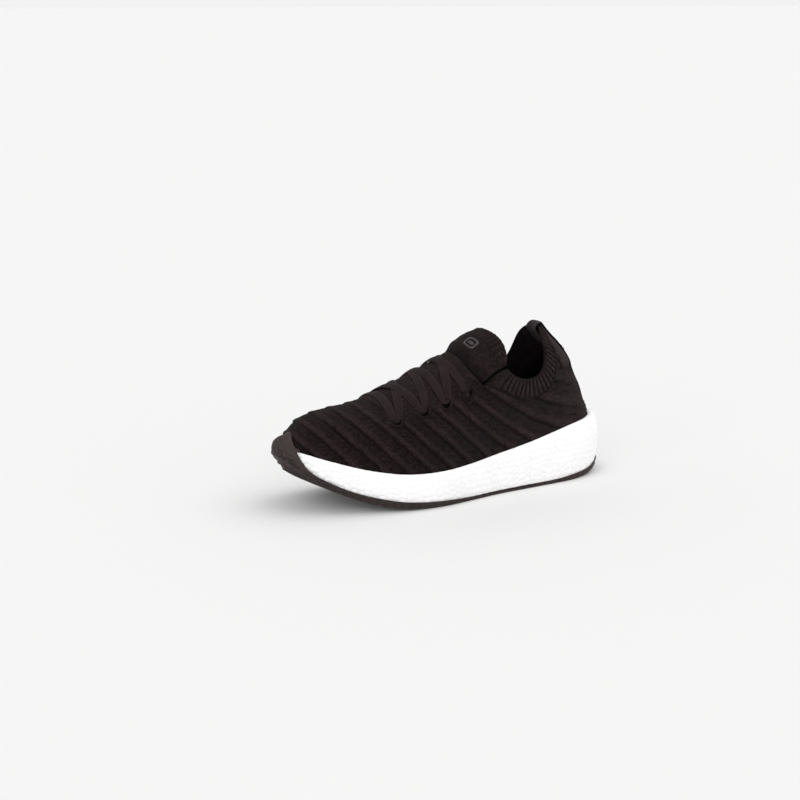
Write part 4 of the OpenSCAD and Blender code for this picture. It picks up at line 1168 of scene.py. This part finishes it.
def make_outsole():
    a = even_angles(1000, sole_plan)[None, :]
    t = along(a)
    tread, top, start = tread_z(t), curve(RUBBER_TOP, t), lip_start(a)
    side, lip = np.linspace(0.06, 1, 26)[:, None], np.linspace(0.1, 1, 12)[:, None]
    z = np.concatenate([mix(tread, start, side), mix(start, top, lip)])
    face = rubber_face(a, z, rubber_t(a))
    run, total = ring_run(face[10])
    toe = fade(0.1, 0.17, t)
    low, high = tread + 6.5, top - 5.0
    zone = toe * ramp(0, 2, z - low) * ramp(0, 2.5, high - z)
    count = int(total / FACET_W)
    near, gap, tone = cells(run / total * count + 0 * z, z / FACET_H, 9, count)
    dimple = bell(near, 0.25)
    facet = np.clip(gap * 1.8, 0, 1) ** 0.6
    step = bell(z - low + 0.5, 0.7) * toe
    rim_line = bell(z - high - 1.0, 0.6) * toe
    teeth = np.abs(np.sin(np.pi * run / 7.0)) ** 12
    strip = fade(2.5, 5.0, z - tread) * ramp(0.3, 1.5, z - tread)
    height = (1.1 * (facet - 0.8) * (0.5 + tone) - 0.5 * dimple) * zone
    height = height - 0.35 * step - 0.3 * rim_line - 0.45 * teeth * strip
    # Painted shade in the dimples, facet creases, rim line, step and teeth, plus the facets' own random tone.
    painted_shade_and_mottle = zone * (0.4 * dimple + 0.75 * (1 - facet) - 0.5 * (tone - 0.5))
    shade = 1 - painted_shade_and_mottle - 0.35 * rim_line - 0.4 * teeth * strip - 0.35 * step
    outer = face + normals(face, True) * height[..., None]
    inside = rubber_face(a, mix(start, top, np.linspace(1, 0, 5)[:, None]), 0.0)
    tray = rubber_face(a, mix(foam_bottom(a), start, np.linspace(0.95, 0.1, 6)[:, None]), 0.0)
    edge = (outer[-1:] + inside[:1]) / 2 + (0, 0, 0.35)
    bevel = foam_inset(a, tread) - rubber_t(a) + 1.2 + TOE_TUCK * toe_share(a)
    ground = [tread_at(a, inset, z) for inset, z in ((9.5, TREAD_DEPTH), (8.9, 0.15), (8.0, 0), (bevel, 0))]
    roof = tread_at(a, foam_inset(a, foam_bottom(a)) - RUBBER_GAP, OUTSOLE_T - BOND)
    rows = np.concatenate([*ground, outer, edge, inside, tray, roof])
    tones = np.full(rows.shape[:2], 0.85)
    tones[4 : 4 + len(outer)] = (1 + 0.15 * toe * ramp(0, 3, z - low)) * shade
    lugs = [tread_lug(centre) for centre in lug_centres()]
    points, faces = joined([(rows, stack_faces), *((lug, lug_faces) for lug in lugs)])
    # Lug tones by row: painted shade in the sunken middle, lighter on the flat ground faces.
    lug_tones = np.repeat([0.9, 1.0, 1.15, 1.15, 0.8, 0.8], lugs[0].shape[1])
    tones = np.concatenate([tones.ravel(), np.tile(lug_tones, len(lugs))])
    add_mesh("outsole_rubber", "outsole", "rubber_sole", points, faces, shade=tones)


def lug_centres():
    found = []
    for row in range(-2, 3):
        for col in range(-7, 8):
            x = (col + (abs(row) % 2) / 2) * LUG_PITCH + SOLE_LEN / 2
            y = row * LUG_PITCH * LUG_ROW
            t = x / SOLE_LEN
            if 0.08 < t < 0.95:
                wide, middle = math.sqrt(t * (1 - t)) * 2, curve(SOLE_MIDDLE, t)
                low = middle - curve(SOLE_LATERAL, t) * wide + 0.95 * LUG_PITCH
                if low < y < middle + curve(SOLE_MEDIAL, t) * wide - 0.95 * LUG_PITCH:
                    found.append((x, y))
    return found


def tread_lug(centre):
    """Six-sided lug with a bevelled edge and a sunken middle, rows from its root to its middle."""
    q = turn(48) + np.pi / 6
    hexagon = LUG_ROW / np.cos(q % (np.pi / 3) - np.pi / 6)
    rows = []
    for reach, z in ((1.0, 1.7), (1.0, 0.5), (0.95, 0.0), (0.62, 0.0), (0.56, 0.45), (0.05, 0.45)):
        r = LUG_PITCH * 0.46 * reach * hexagon
        x = centre[0] + r * np.cos(q)
        rows.append(place(x, centre[1] + r * np.sin(q), tread_z(x / SOLE_LEN) + z))
    return np.stack(rows)


def lug_faces(rows, first):
    index, quads = numbered(rows, first)
    return quads[:-1, :, ::-1].reshape(-1, 4).tolist() + [index[0].tolist(), index[-1, ::-1].tolist()]


make_outsole()


# ---------- Inside ----------
def footbed_rows(outline):
    """Rings of the insole from (inset, height) pairs measured from the knit's lower edge."""
    a = even_angles(360, lambda a: upper_ring(a, 0.02))
    ring = upper_foot(a, 0.0)
    v = np.roll(ring, -1, 0) - np.roll(ring, 1, 0)
    n = unit(np.stack([v[:, 1], -v[:, 0], 0 * v[:, 0]], -1))
    return np.stack([ring - inset * n + (0, 0, z) for inset, z in outline])


def make_sockliner():
    low = STROBEL_T + 0.1
    top = low + SOCKLINER_T
    foam = footbed_rows(((8.4, low), (7.6, low + 0.8), (7.4, low + 1.8), (7.3, low + 3.6), (7.7, top)))
    pad = add_mesh("sockliner_pad", "sockliner_foam", "foam_dark", foam, stack_faces(foam))
    outline = (7.7, 0.02), (7.3, 0.3), (7.5, 0.75), (8.4, COVER_T), (10.5, 0.72), (11.2, 0.6), (12.0, 0.75)
    rows = footbed_rows([(inset, top + z) for inset, z in outline])
    shade = np.ones(rows.shape[:2])
    shade[5] = 0.5
    add_mesh("sockliner_cloth", "sockliner_cover", "lining_cloth", rows, stack_faces(rows), shade=shade)


make_sockliner()


def pad_swell(a, r):
    b = np.abs(a - 180)
    return ramp(0.5, 0.6, r) * fade(0.7, 0.8, r) * ramp(16, 34, b) * fade(52, 68, b)


def make_lining():
    a, r = np.linspace(108, 252, 300)[None, :], np.linspace(0.06, 0.83, 110)[:, None]
    g = upper_ring(a, r)
    n = normals(g)
    depth = -KNIT_T - 2 * LOOSE - COUNTER_T - PAD_T * pad_swell(a, r)
    mesh = 0.12 * np.sin(a * 3.2) * np.sin(r * 190)
    fold_line = bell(r - 0.5, 0.008) * ramp(14, 20, np.abs(a - 180))
    inner = g + n * (depth - LINING_T + mesh + 0.5 * fold_line)[..., None]
    rows = shell((g + n * depth[..., None])[::12], inner, top=0.4, bottom=0.4, steps=2)
    tones = np.ones(rows.shape[:2])
    # Painted shade in the crease along the fold line.
    tones[-(len(inner) + 2) : -2] = 1 - 0.5 * fold_line[::-1]
    cloth = cloth_coords(rows), tones
    add_mesh("heel_lining_cloth", "heel_lining", "lining_cloth", rows, loop_faces(rows), *cloth)
    for side, low, high in (("lateral", 115, 161), ("medial", 199, 245)):
        a, r = np.linspace(low, high, 60)[None, :], np.linspace(0.525, 0.775, 30)[:, None]
        g = upper_ring(a, r)
        n = normals(g)
        swell = (PAD_T - 0.5) * pad_swell(a, r) * ramp(0.5, 0.55, r)
        near = g - n * (KNIT_T + 0.95)
        far = g - n * (KNIT_T + LOOSE + COUNTER_T - 0.25 + swell)[..., None]
        node = f"collar_pad_{side}"
        add_layer(f"{node}_foam", node, "pad_foam", near, far, top=0.8, bottom=0.8)


make_lining()

# ---------- Inner CAD parts that keep their shape ----------
CAD_FINISH = {
    "strobel_board": "board_cloth",
    "strobel_stitching": "thread_light",
    "heel_counter": "stiffener",
    "toe_puff": "stiffener",
    "eyestay_tape_lateral": "tape_cloth",
    "eyestay_tape_medial": "tape_cloth",
    "aglets": "aglet_plastic",
}
for node, finish in CAD_FINISH.items():
    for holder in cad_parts[node].material_slots:
        holder.material = LOOKS[finish]


# ---------- Floor, light and camera ----------
FLOOR_REACH = 60.0
SENSOR, DISTANCE, VIEW_WIDTH, PIXELS_PER_MM = 36.0, 1400.0, 800, 1.21


def direction(azimuth, elevation):
    a, e = math.radians(azimuth), math.radians(elevation)
    return Vector((math.sin(a) * math.cos(e), -math.cos(a) * math.cos(e), math.sin(e)))


def stand(name, data, facing):
    """An object in the scene that looks back along a direction."""
    thing = bpy.data.objects.new(name, data)
    thing.rotation_euler = facing.to_track_quat("Z", "Y").to_euler()
    bpy.context.scene.collection.objects.link(thing)
    return thing


def make_floor():
    mesh = bpy.data.meshes.new("floor")
    corners = [(x * FLOOR_REACH, y * FLOOR_REACH, 0) for x, y in ((-1, -1), (1, -1), (1, 1), (-1, 1))]
    mesh.from_pydata(corners, [], [(0, 1, 2, 3)])
    paper = Tree("floor_paper", 0.9, 0.1)
    paper.colour(paper.noise(2.0), (0.805, 0.803, 0.798), (0.81, 0.808, 0.803), 1.0)
    mesh.materials.append(paper.material)
    floor = bpy.data.objects.new("floor", mesh)
    bpy.context.scene.collection.objects.link(floor)


def add_sun(name, azimuth, elevation, strength, spread):
    light = bpy.data.lights.new(name, "SUN")
    light.energy = strength
    light.angle = math.radians(spread)
    stand(name, light, direction(azimuth, elevation))


def make_lights():
    world = bpy.data.worlds.new("studio")
    world.use_nodes = True
    sky = world.node_tree.nodes["Background"].inputs
    sky["Color"].default_value = (0.99, 0.99, 0.995, 1)
    sky["Strength"].default_value = 0.9
    bpy.context.scene.world = world
    add_sun("key", 60, 60, 0.6, 60)
    add_sun("front", -45, 20, 0.8, 70)


def make_camera():
    back = direction(-29.7, 14.3)
    data = bpy.data.cameras.new("camera")
    data.sensor_width = SENSOR
    data.lens = SENSOR * PIXELS_PER_MM * DISTANCE / VIEW_WIDTH
    data.shift_x = -43.7 / VIEW_WIDTH
    data.shift_y = 28.4 / VIEW_WIDTH
    data.clip_end = 200.0
    camera = stand("camera", data, back)
    camera.location = Vector((0, CENTRE_Y * MM, 0.05)) + back * DISTANCE * MM
    bpy.context.scene.camera = camera


make_floor()
make_lights()
make_camera()
bpy.context.scene.view_settings.view_transform = "Standard"
